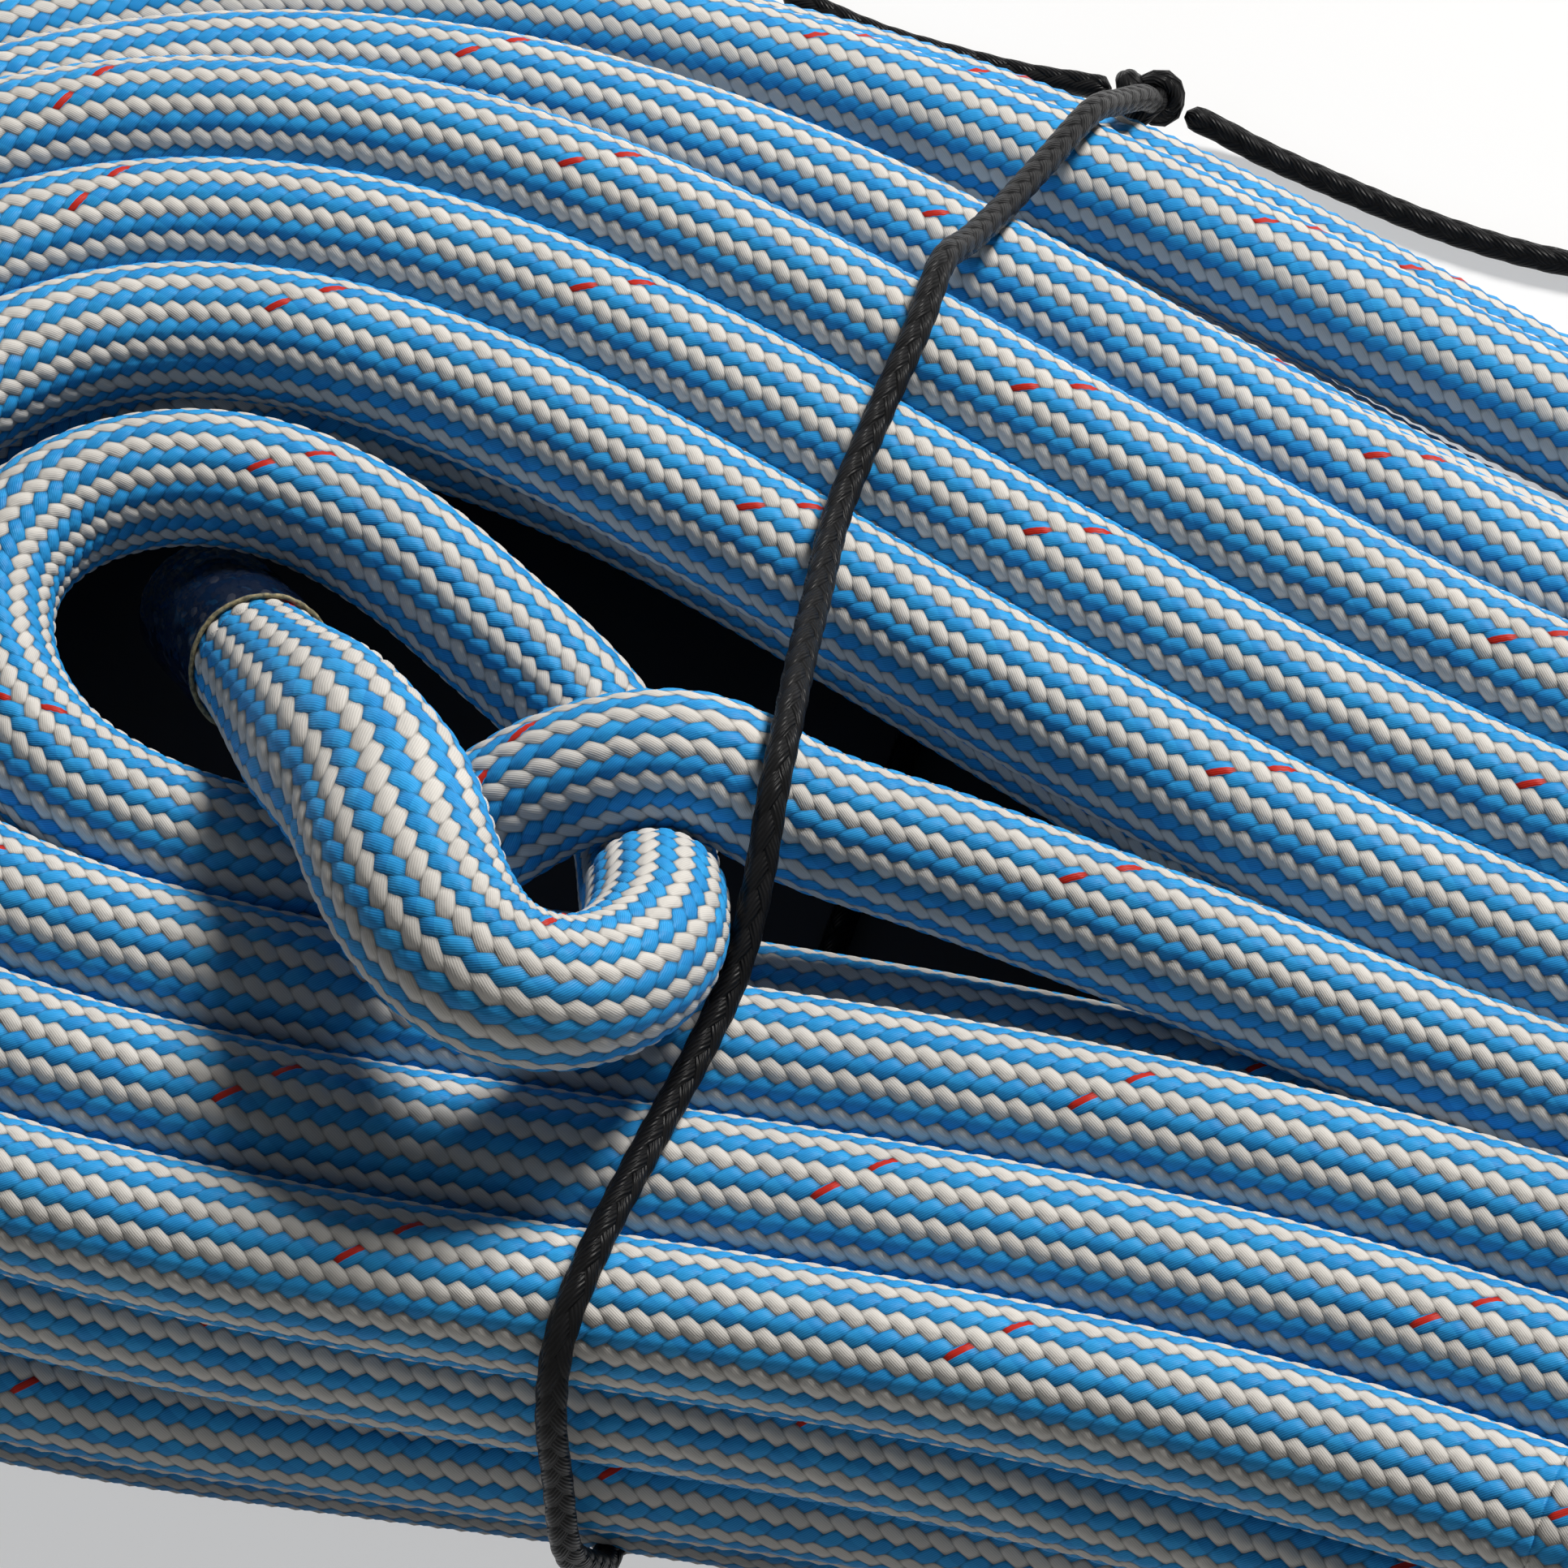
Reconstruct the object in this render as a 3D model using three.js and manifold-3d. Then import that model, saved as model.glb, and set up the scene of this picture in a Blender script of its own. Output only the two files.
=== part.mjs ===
// A length of dynamic climbing rope, wound into a long narrow coil and bound near one bight with thin
// black cord. The coil's top end runs on in a small bight, dives under itself, comes back over and ends
// in the small bight, as a loose half hitch. Millimetres, +Z up, standing on z = 0.

import * as THREE from 'three';
import { mergeVertices } from 'three/addons/utils/BufferGeometryUtils.js';
import Module from 'manifold-3d';

const wasm = await Module();
wasm.setup();

// ---- Driving dimensions, millimetres ----

const CORD_DIAMETER = 10;
const FACE_GAP = 0.3;

// Coil
const SIDE_GAP = 1.42;
const LAYER_GAP = 0.55;
const FLOOR_CUT = CORD_DIAMETER / 10;
const LEFT_REACH = 153;
const RIGHT_REACH = 140;
const WAIST = 11;
const LEFT_SWELL = 60;
const RIGHT_SWELL = 55;
const NEAR_PITCH = CORD_DIAMETER + SIDE_GAP;
const LAYER_RISE = CORD_DIAMETER + LAYER_GAP;
const STEPS_PER_LOOP = 24;
const STEP_CROWDING = 0.1;
const COIL_SIDES = 6;

// Layers from the bottom. A loop lies outside the waist line by the near inset plus one pitch a loop
// on the near run, and by the far inset plus the far pitch a loop on the far run.
const LAYERS = [
  { loops: 4, nearInset: -22, farInset: 24, farPitch: CORD_DIAMETER + 6.3 },
  { loops: 4, nearInset: -13, farInset: 14, farPitch: CORD_DIAMETER + 4.4 },
  { loops: 4, nearInset: -16, farInset: 3.5, farPitch: CORD_DIAMETER + 1.9 },
  { loops: 3, nearInset: 0, farInset: -5.5, farPitch: CORD_DIAMETER + 1.3 },
];

// Rope ends
const END_LENGTH = 20;
const SHEATH_WALL = 1.1;
const STRAND_DIAMETER = 1.4;
const INNER_STRANDS = 3;
const INNER_STRAND_RING = 1;
const OUTER_STRANDS = 9;
const OUTER_STRAND_RING = 2.85;
const TIP_THICKNESS = 1.2;
const SLEEVE_WALL = 0.4;
const SLEEVE_SETBACK = 0.6;
const BARE_SHEATH = 1.4;
const SLEEVE_LENGTH = END_LENGTH - SLEEVE_SETBACK - BARE_SHEATH;

// Tie cord
const TIE_DIAMETER = 2.4;
const TIE_CLEARANCE = 0.6;
const KNOT_RADIUS = 3.4;

// Plain tubes
const CORD_SIDES = 10;
const THIN_CORD_SIDES = 8;
const LEAD_STEPS = 80;
const START_STEPS = 14;
const TIE_STEPS = 76;
const TIE_END_STEPS = 10;
const ROUND_SIDES = 24;
const STRAND_SIDES = 8;
const KNOT_SIDES = 16;
const KNOT_RINGS = 10;

// ---- Routes chosen by hand, in the coil's own frame: origin at the waist, x along the coil ----

// The reaches of the bights that the routes were laid in. A longer bight stretches them along x.
const LAID_IN = { left: 153, right: 140 };

// From the coil's top end on: round the small bight, under itself and back over, to the cut end.
const LEAD_ROUTE = [
  [-25, 0, 35.8], [-39, 0, 37], [-51, -0.8, 38.6], [-61, -2, 40.4], [-70, -3.6, 42.3],
  [-79.3, -4.2, 44.9], [-87.5, -8.3, 43.4], [-94, -13.5, 39], [-102, -17.7, 36], [-110.5, -19.6, 35.6],
  [-119, -19.6, 35.6], [-127.3, -17.3, 35.7], [-134.6, -11.7, 36], [-138.4, -3.7, 36.5], [-137.2, 3.5, 36.7],
  [-132.7, 8.7, 37], [-126.6, 11.8, 37], [-119.3, 12.9, 36.3], [-111, 12.3, 34.3], [-103, 10.5, 31.5],
  [-96.2, 8.6, 29.4], [-91.6, 6, 28.5], [-87.9, 2.1, 29.2], [-83.8, -3.5, 32.4], [-79.4, -11.4, 36.6],
  [-76.4, -16.8, 44.6], [-73.8, -23, 48.4], [-74.1, -28.4, 50.8], [-77.2, -32.6, 52.8], [-81.9, -33.6, 54.2],
  [-86.8, -31.2, 54.8], [-91.4, -26.6, 53.8], [-95.8, -21.3, 51.4], [-102.5, -15.4, 47.5], [-109.3, -9, 41.6],
  [-115.5, -3, 35.7],
];

// From the coil's bottom end on, over the floor inside the right-hand bight, to the other cut end.
const START_ROUTE = [
  [22, 35, 4], [34, 33, 4], [46, 28, 4.3], [57, 21.5, 5.2], [67, 16, 6], [77, 12.5, 6],
];

// The tie, from the knot up over the far flank, across the top, down the near flank and back underneath.
const TIE_ROUTE = [
  [-86.8, 106.7, 6.4], [-86.6, 104.4, 9], [-86.4, 97.2, 15.2], [-86, 90.4, 20.9], [-85.4, 78, 26.6],
  [-84.8, 66.6, 32], [-84.2, 58.5, 36.8], [-83.5, 51.5, 41.6], [-82.2, 44, 42.5], [-81.3, 33.5, 42.3],
  [-80.1, 23.6, 42.5], [-77.2, 13.2, 45.2], [-74.8, 5.1, 48.4], [-72.6, -2, 50.6], [-70.9, -8.5, 50.4],
  [-69.6, -14, 47], [-68.9, -19.5, 43.6], [-68.8, -25, 42.3], [-68.6, -36.2, 42.3], [-68.2, -44.4, 42.7],
  [-67.9, -50.6, 40.8], [-67.7, -53, 35], [-67.6, -52.8, 25], [-67.6, -51.8, 14], [-67.8, -47.6, 5.5],
  [-68, -45.8, 2.7], [-68.4, -43, 1.5], [-70, -30, 1.45], [-74, 0, 1.45], [-80, 45, 1.45], [-86, 90, 1.45],
  [-87.5, 101, 1.5], [-88, 103.6, 1.9], [-88, 105.6, 2.8],
];
const KNOT_CENTRE = [-88, 109.2, 3.7];

// Where the tie runs under the coil, from the near flank to the far one, and its height there.
const TIE_FLOOR_RUN = [[-68.6, -42.5], [-87.5, 101]];
const TIE_FLOOR_HEIGHT = 1.45;

// The tie's two loose ends, from the knot out over the floor.
const TIE_SHORT_END = [
  [-91.6, 109.5, 3], [-94, 109.7, 2.4], [-99, 109.6, 1.4], [-106, 109, 1.3], [-114, 108.8, 1.3],
  [-124, 110.2, 1.3],
];
const TIE_LONG_END = [
  [-84.4, 109.5, 3], [-82, 109.7, 2.4], [-77, 109.4, 1.4], [-69, 108.4, 1.3], [-60, 107.5, 1.3],
  [-51, 107.7, 1.3], [-42, 109.2, 1.3],
];

// Surface finishes, as roughness from 0, a mirror, to 1, chalk.
const MATT = 0.8;
const SATIN = 0.6;
const GLOSS = 0.1;
const SLEEVE_OPACITY = 0.4;

const COLOURS = { rope: 0x7fb2dc, core: 0xeeeae2, tip: 0xd8cfa8, sleeve: 0xdfe6ea, tie: 0x26282b };

// ---- The coil's centreline ----

// A point of a route, moved along x with the bight that it lies in.
function placed([x, y, z]) {
  return [x * (x < 0 ? LEFT_REACH / LAID_IN.left : RIGHT_REACH / LAID_IN.right), y, z];
}

function clamp01(value) {
  return Math.min(1, Math.max(0, value));
}

function smooth(value) {
  const v = clamp01(value);
  return v * v * (3 - 2 * v);
}

// The waist line at an angle round the coil: a long oval drawn in at the middle, and its outward normal.
function waistLine(angle) {
  const cos = Math.cos(angle);
  const sin = Math.sin(angle);
  const reach = cos < 0 ? LEFT_REACH : RIGHT_REACH;
  const swell = cos < 0 ? LEFT_SWELL : RIGHT_SWELL;
  const width = WAIST + swell * cos * cos;
  const alongX = -reach * sin;
  const alongY = cos * width - 2 * swell * cos * sin * sin;
  const length = Math.hypot(alongX, alongY);
  return { x: reach * cos, y: sin * width, normalX: alongY / length, normalY: -alongX / length };
}

// How far a column of a layer lies outside the waist line, eased from the near run to the far run.
function outset(layer, column, angle) {
  const { nearInset, farInset, farPitch } = LAYERS[layer];
  const sin = Math.sin(angle);
  const far = 0.5 + 0.5 * sin * (1.5 - 0.5 * sin * sin);
  return (nearInset + NEAR_PITCH * column) * (1 - far) + (farInset + farPitch * column) * far;
}

// Where in the half turn that climbs to the next layer each move starts, and how long it takes, in turns.
const CLIMB = {
  reverse: { start: 0.2, span: 0.3 },
  outward: { aside: { start: 0.33, span: 0.17 }, up: { start: 0.18, span: 0.22 } },
  inward: { aside: { start: 0.02, span: 0.36 }, up: { start: 0.2, span: 0.28 } },
};

function eased(turns, { start, span }) {
  return smooth((turns - start) / span);
}

// The centreline after some turns of a layer. Even layers wind outward and odd ones inward, and the cord
// climbs to the next layer in the half turn where the spiral reverses.
function coilPoint(layer, turns) {
  const { loops } = LAYERS[layer];
  const angle = Math.PI / 2 + 2 * Math.PI * turns;
  const windsOut = layer % 2 === 0;
  const climb = turns - (loops - 0.5);
  let height = CORD_DIAMETER / 2 - FLOOR_CUT + LAYER_RISE * layer;
  let out = outset(layer, windsOut ? turns : loops - 0.5 - turns, angle);
  if (layer < LAYERS.length - 1 && climb > 0) {
    const moves = windsOut ? CLIMB.outward : CLIMB.inward;
    const drift = climb * (1 - eased(climb, CLIMB.reverse));
    const above = LAYERS[layer + 1].loops;
    const from = outset(layer, windsOut ? loops - 0.5 + drift : -drift, angle);
    const to = outset(layer + 1, windsOut ? above - 0.5 + drift : -drift, angle);
    out = from + (to - from) * eased(climb, moves.aside);
    height += LAYER_RISE * eased(climb, moves.up);
  }
  const line = waistLine(angle);
  return new THREE.Vector3(line.x + line.normalX * out, line.y + line.normalY * out, height);
}

// The whole coil, with a straight stretch of one diameter at each end. Steps crowd towards the bights.
function coilCentreline(stepsPerLoop) {
  const points = [];
  LAYERS.forEach(({ loops }, layer) => {
    for (let step = 0; step < loops * stepsPerLoop; step += 1) {
      const even = (2 * Math.PI * step) / stepsPerLoop;
      points.push(coilPoint(layer, (even + STEP_CROWDING * Math.sin(2 * even)) / (2 * Math.PI)));
    }
  });
  const top = LAYERS.length - 1;
  points.push(coilPoint(top, LAYERS[top].loops));
  const straight = new THREE.Vector3(CORD_DIAMETER, 0, 0);
  points.unshift(points[0].clone().add(straight));
  points.push(points.at(-1).clone().sub(straight));
  return points;
}

// The least distance between the surfaces of two stretches of the coil, measured on points.
function leastGap(points) {
  const spacing = 2;
  const curve = [];
  let travelled = 0;
  for (let i = 1; i < points.length; i += 1) {
    const length = points[i].distanceTo(points[i - 1]);
    const parts = Math.ceil(length / spacing);
    for (let part = 0; part < parts; part += 1) {
      const share = part / parts;
      curve.push({ at: travelled + share * length, point: points[i - 1].clone().lerp(points[i], share) });
    }
    travelled += length;
  }
  const apart = 4 * CORD_DIAMETER;
  let least = Infinity;
  for (let i = 0; i < curve.length; i += 1) {
    for (let j = i + 1; j < curve.length; j += 1) {
      if (curve[j].at - curve[i].at > apart) {
        least = Math.min(least, curve[i].point.distanceTo(curve[j].point));
      }
    }
  }
  return least - CORD_DIAMETER;
}

// ---- Shapes ----

function material(colour, roughness, opacity = 1) {
  return new THREE.MeshStandardMaterial({
    color: colour, roughness, metalness: 0, transparent: opacity < 1, opacity,
  });
}

function piece(name, geometry, colour, roughness, opacity) {
  const mesh = new THREE.Mesh(geometry, material(colour, roughness, opacity));
  mesh.name = name;
  return mesh;
}

// A closed tube of rings that stand upright along the points, each ring with a corner at its top.
function ringTube(points, radius, sides) {
  const up = new THREE.Vector3(0, 0, 1);
  const positions = [];
  points.forEach((point, i) => {
    const before = points[Math.max(0, i - 1)];
    const after = points[Math.min(points.length - 1, i + 1)];
    const along = after.clone().sub(before).normalize();
    const across = up.clone().cross(along).normalize();
    const over = along.clone().cross(across);
    for (let side = 0; side < sides; side += 1) {
      const angle = (2 * Math.PI * side) / sides;
      const corner = point.clone();
      corner.addScaledVector(over, radius * Math.cos(angle));
      corner.addScaledVector(across, radius * Math.sin(angle));
      positions.push(corner.x, corner.y, corner.z);
    }
  });
  const index = [];
  for (let ring = 0; ring < points.length - 1; ring += 1) {
    for (let side = 0; side < sides; side += 1) {
      const a = ring * sides + side;
      const b = ring * sides + ((side + 1) % sides);
      index.push(a, a + sides, b, b, a + sides, b + sides);
    }
  }
  const last = (points.length - 1) * sides;
  for (let side = 1; side < sides - 1; side += 1) {
    index.push(0, side, side + 1);
    index.push(last, last + side + 1, last + side);
  }
  const geometry = new THREE.BufferGeometry();
  geometry.setAttribute('position', new THREE.Float32BufferAttribute(positions, 3));
  geometry.setIndex(index);
  return geometry;
}

function roundSection(diameter, sides) {
  const corners = [];
  for (let side = 0; side < sides; side += 1) {
    const angle = (2 * Math.PI * (side + 0.5)) / sides;
    corners.push(new THREE.Vector2(Math.cos(angle), Math.sin(angle)).multiplyScalar(diameter / 2));
  }
  return new THREE.Shape(corners);
}

function routeCurve(route) {
  return new THREE.CatmullRomCurve3(route.map((point) => new THREE.Vector3(...point)), false, 'centripetal');
}

function plainTube(route, diameter, sides, steps) {
  return new THREE.ExtrudeGeometry(roundSection(diameter, sides), {
    steps, bevelEnabled: false, extrudePath: routeCurve(route),
  });
}

// A ring or disc turned about +Z from a profile of [radius, height] points, closed by the caller.
function turned(profile) {
  const geometry = new THREE.LatheGeometry(profile.map(([r, z]) => new THREE.Vector2(r, z)), ROUND_SIDES);
  return geometry.rotateX(Math.PI / 2);
}

function ringProfile(inner, outer, bottom, top) {
  return [[inner, bottom], [outer, bottom], [outer, top], [inner, top], [inner, bottom]];
}

// ---- Cutting ----

function toSolid(geometry) {
  const bare = geometry.clone();
  bare.deleteAttribute('normal');
  bare.deleteAttribute('uv');
  const merged = mergeVertices(bare, 1e-4);
  return new wasm.Manifold(new wasm.Mesh({
    numProp: 3,
    vertProperties: new Float32Array(merged.attributes.position.array),
    triVerts: new Uint32Array(merged.index.array),
  }));
}

function toGeometry(solid) {
  const mesh = solid.getMesh();
  const geometry = new THREE.BufferGeometry();
  geometry.setAttribute('position', new THREE.Float32BufferAttribute(mesh.vertProperties, 3));
  geometry.setIndex(Array.from(mesh.triVerts));
  geometry.computeVertexNormals();
  return geometry;
}

function cut(geometry, ...tools) {
  return toGeometry(tools.reduce((solid, tool) => solid.subtract(toSolid(tool)), toSolid(geometry)));
}

// Everything below the floor.
function belowFloor() {
  const depth = 4 * CORD_DIAMETER;
  const size = 4 * (LEFT_REACH + RIGHT_REACH);
  return new THREE.BoxGeometry(size, size, depth).translate(0, 0, -depth / 2);
}

// The channel under the coil that the tie runs through, from one flank to the other.
function tieChannel() {
  const [near, far] = TIE_FLOOR_RUN.map(([x, y]) => placed([x, y, 0]));
  const run = new THREE.Vector2(far[0] - near[0], far[1] - near[1]);
  const top = TIE_FLOOR_HEIGHT + TIE_DIAMETER / 2 + TIE_CLEARANCE;
  const width = TIE_DIAMETER + 2 * TIE_CLEARANCE;
  const channel = new THREE.BoxGeometry(run.length() * 2, width, 2 * top);
  channel.rotateZ(run.angle());
  return channel.translate((near[0] + far[0]) / 2, (near[1] + far[1]) / 2, 0);
}

// ---- Pieces ----

function ropeCoil(points) {
  const tube = ringTube(points, CORD_DIAMETER / 2, COIL_SIDES);
  return piece('rope_coil', cut(tube, belowFloor(), tieChannel()), COLOURS.rope, MATT);
}

// A cut end in its own frame, +Z out of the rope: the sheath, the core strands in it, the fused tip
// and the clear sleeve round them.
function ropeEnd(name) {
  const end = new THREE.Group();
  const radius = CORD_DIAMETER / 2;
  const length = END_LENGTH - TIP_THICKNESS - FACE_GAP;
  const sheath = turned(ringProfile(radius - SHEATH_WALL, radius, FACE_GAP, length));
  end.add(piece(`${name}_sheath`, sheath, COLOURS.rope, MATT));
  const ring = (count, ringRadius, first) => {
    for (let i = 0; i < count; i += 1) {
      const strandRadius = STRAND_DIAMETER / 2;
      const strandLength = length - FACE_GAP;
      const strand = new THREE.CylinderGeometry(strandRadius, strandRadius, strandLength, STRAND_SIDES);
      strand.rotateX(Math.PI / 2);
      const mesh = piece(`${name}_core_${first + i}`, strand, COLOURS.core, MATT);
      const angle = (2 * Math.PI * i) / count;
      mesh.position.set(ringRadius * Math.cos(angle), ringRadius * Math.sin(angle), (length + FACE_GAP) / 2);
      end.add(mesh);
    }
  };
  ring(INNER_STRANDS, INNER_STRAND_RING, 1);
  ring(OUTER_STRANDS, OUTER_STRAND_RING, INNER_STRANDS + 1);
  const tipBottom = length + FACE_GAP;
  const tip = turned([[0, tipBottom], [radius, tipBottom], [radius, END_LENGTH - TIP_THICKNESS / 2],
    [radius - TIP_THICKNESS / 2, END_LENGTH], [0, END_LENGTH]]);
  end.add(piece(`${name}_tip`, tip, COLOURS.tip, SATIN));
  const sleeveTop = END_LENGTH - SLEEVE_SETBACK;
  const sleeveInner = radius + FACE_GAP;
  const sleeveOuter = sleeveInner + SLEEVE_WALL;
  const sleeve = turned(ringProfile(sleeveInner, sleeveOuter, sleeveTop - SLEEVE_LENGTH, sleeveTop));
  end.add(piece(`${name}_sleeve`, sleeve, COLOURS.sleeve, GLOSS, SLEEVE_OPACITY));
  return end;
}

// Stands a piece modelled along +Z on the end of a route, in line with its last stretch.
function standAtEnd(group, route) {
  const [before, last] = route.slice(-2).map((point) => new THREE.Vector3(...point));
  group.position.copy(last);
  group.quaternion.setFromUnitVectors(new THREE.Vector3(0, 0, 1), last.clone().sub(before).normalize());
  return group;
}

function tieKnot() {
  const knot = new THREE.SphereGeometry(KNOT_RADIUS, KNOT_SIDES, KNOT_RINGS).rotateX(Math.PI / 2);
  const mesh = piece('tie_knot', knot, COLOURS.tie, SATIN);
  mesh.position.set(...placed(KNOT_CENTRE));
  return mesh;
}

function tieTube(name, route, steps) {
  const shape = plainTube(route.map(placed), TIE_DIAMETER, THIN_CORD_SIDES, steps);
  return piece(name, shape, COLOURS.tie, SATIN);
}

// A route that leaves an end of the coil, face to face with it and square to it.
function fromCoil(end, inward, route) {
  const out = end.clone().sub(inward).normalize();
  const face = end.clone().addScaledVector(out, FACE_GAP);
  return [face.toArray(), face.clone().addScaledVector(out, CORD_DIAMETER / 2).toArray(), ...route];
}

const centreline = coilCentreline(STEPS_PER_LOOP);
console.log(`rope_coil: least gap to itself ${leastGap(centreline).toFixed(2)} mm`);
const leadRoute = fromCoil(centreline.at(-1), centreline.at(-2), LEAD_ROUTE.map(placed));
const startRoute = fromCoil(centreline[0], centreline[1], START_ROUTE.map(placed));

const rope = new THREE.Group();
rope.add(ropeCoil(centreline));
rope.add(piece('rope_lead', plainTube(leadRoute, CORD_DIAMETER, CORD_SIDES, LEAD_STEPS), COLOURS.rope, MATT));
rope.add(standAtEnd(ropeEnd('lead_end'), leadRoute));
const start = plainTube(startRoute, CORD_DIAMETER, CORD_SIDES, START_STEPS);
rope.add(piece('rope_start', cut(start, belowFloor()), COLOURS.rope, MATT));
rope.add(standAtEnd(ropeEnd('start_end'), startRoute));
rope.add(tieTube('tie_cord', TIE_ROUTE, TIE_STEPS));
rope.add(tieTube('tie_short_end', TIE_SHORT_END, TIE_END_STEPS));
rope.add(tieTube('tie_long_end', TIE_LONG_END, TIE_END_STEPS));
rope.add(tieKnot());

// The origin is under the middle of the whole rope, on the floor.
const box = new THREE.Box3().setFromObject(rope, true);
const centre = box.getCenter(new THREE.Vector3());
rope.position.set(-centre.x, -centre.y, 0);

export default rope;
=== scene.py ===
"""Dynamic climbing rope: woven sheath, cut ends and thin black tie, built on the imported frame.

Run as a script. Each group of pieces has an operator, its sizes and colours are in property groups,
and main() makes them all in order. Metres, +Z up, standing on z = 0.
"""

import math

import bmesh
import bpy
import numpy as np
from bpy.props import FloatProperty, FloatVectorProperty, PointerProperty
from mathutils import Matrix, Vector


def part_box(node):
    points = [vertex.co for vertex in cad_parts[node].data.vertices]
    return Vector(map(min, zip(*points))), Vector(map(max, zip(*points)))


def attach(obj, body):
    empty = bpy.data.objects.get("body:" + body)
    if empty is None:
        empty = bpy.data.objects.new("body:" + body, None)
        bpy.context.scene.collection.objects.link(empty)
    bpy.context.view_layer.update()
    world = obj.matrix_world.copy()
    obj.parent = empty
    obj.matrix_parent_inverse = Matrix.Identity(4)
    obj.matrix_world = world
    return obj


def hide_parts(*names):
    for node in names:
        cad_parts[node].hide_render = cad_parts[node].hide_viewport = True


bl_info = {
    "name": "Climbing Rope",
    "version": (1, 0, 0),
    "blender": (4, 5, 0),
    "location": "3D View > Sidebar > Rope",
    "description": "Builds a coil of woven climbing rope with its cut ends and its tie",
    "category": "Object",
}

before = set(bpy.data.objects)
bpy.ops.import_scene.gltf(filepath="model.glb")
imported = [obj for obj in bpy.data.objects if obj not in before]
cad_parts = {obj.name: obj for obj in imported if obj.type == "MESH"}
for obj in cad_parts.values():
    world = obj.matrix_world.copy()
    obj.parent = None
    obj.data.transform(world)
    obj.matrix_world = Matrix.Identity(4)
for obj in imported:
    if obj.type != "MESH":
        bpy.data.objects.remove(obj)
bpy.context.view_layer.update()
BODY = "root"

# ---- The coil, as in the part's source ----

CORD_DIAMETER = 0.01
FLOOR_CUT = CORD_DIAMETER / 10
LEFT_REACH = 0.153
RIGHT_REACH = 0.14
WAIST = 0.011
LEFT_SWELL = 0.06
RIGHT_SWELL = 0.055
NEAR_PITCH = CORD_DIAMETER + 0.00142
LAYER_RISE = CORD_DIAMETER + 0.00055
FACE_GAP = 0.0003

# Loops, near inset, far inset and far pitch of each layer, from the bottom.
LAYERS = [
    (4, -0.022, 0.024, CORD_DIAMETER + 0.0063),
    (4, -0.013, 0.014, CORD_DIAMETER + 0.0044),
    (4, -0.016, 0.0035, CORD_DIAMETER + 0.0019),
    (3, 0.0, -0.0055, CORD_DIAMETER + 0.0013),
]

# How a layer's last turn climbs to the next one: where it starts and how far it takes, in turns, on
# layers that wind out and on layers that wind in.
CLIMB_DRIFT = (0.2, 0.3)
CLIMB_ASIDE = {True: (0.33, 0.17), False: (0.02, 0.36)}
CLIMB_UP = {True: (0.18, 0.22), False: (0.2, 0.28)}

# Rope ends
END_LENGTH = 0.02
SHEATH_WALL = 0.0011
STRAND_DIAMETER = 0.0014
STRAND_YARNS = 3
STRAND_LAY = 0.009
STRAND_SIDES = 18
STRAND_RINGS = 28
YARN_BULGE = 0.2
INNER_STRANDS = 3
INNER_STRAND_RING = 0.001
OUTER_STRANDS = 9
OUTER_STRAND_RING = 0.00285
SLEEVE_LENGTH = 0.018
SLEEVE_WALL = 0.0004
SLEEVE_SETBACK = 0.0006
SLEEVE_ROW = 0.0009
SLEEVE_SIDES = 80
SLEEVE_STEPS = 36
SLEEVE_RELIEF = 0.25
SLEEVE_WRINKLE = 0.00005

# The fused tip: share of the cord's radius and height over its lower face round its outline, and
# the lumps round its rim as their number, turn and share.
TIP_THICKNESS = 0.0012
TIP_STEPS = 64
TIP_OUTLINE = [
    (0.0, 0.0), (0.6, 0.0), (0.96, 0.0001), (1.03, 0.0005), (1.0, 0.0009),
    (0.9, TIP_THICKNESS), (0.5, TIP_THICKNESS + 0.0001), (0.0, TIP_THICKNESS + 0.00005),
]
TIP_LUMPS = [(5, 0.7, 0.5), (11, 0.0, 0.3), (17, 2.0, 1.0)]
LUMP_SIZE = 0.012

TIE_DIAMETER = 0.0024
TIE_SOFTNESS = 0.0008
KNOT_CENTRE = (-0.088, 0.1092, 0.0037)
KNOT_REACH = 0.00078
KNOT_DEPTH = 0.00115
KNOT_SOFTNESS = 0.0004


def in_metres(points):
    return np.array(points, float) / 10000


# Routes in the coil's own frame, as in the part's source, in tenths of a millimetre.
LEAD_ROUTE = in_metres([
    (-250, 0, 358), (-390, 0, 370), (-510, -8, 386), (-610, -20, 404), (-700, -36, 423),
    (-793, -42, 449), (-875, -83, 434), (-940, -135, 390), (-1020, -177, 360), (-1105, -196, 356),
    (-1190, -196, 356), (-1273, -173, 357), (-1346, -117, 360), (-1384, -37, 365),
    (-1372, 35, 367), (-1327, 87, 370), (-1266, 118, 370), (-1193, 129, 363), (-1110, 123, 343),
    (-1030, 105, 315), (-962, 86, 294), (-916, 60, 285), (-879, 21, 292), (-838, -35, 324),
    (-794, -114, 366), (-764, -168, 446), (-738, -230, 484), (-741, -284, 508), (-772, -326, 528),
    (-819, -336, 542), (-868, -312, 548), (-914, -266, 538), (-958, -213, 514), (-1025, -154, 475),
    (-1093, -90, 416), (-1155, -30, 357),
])
START_ROUTE = in_metres([
    (220, 350, 40), (340, 330, 40), (460, 280, 43), (570, 215, 52), (670, 160, 60), (770, 125, 60),
])
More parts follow.
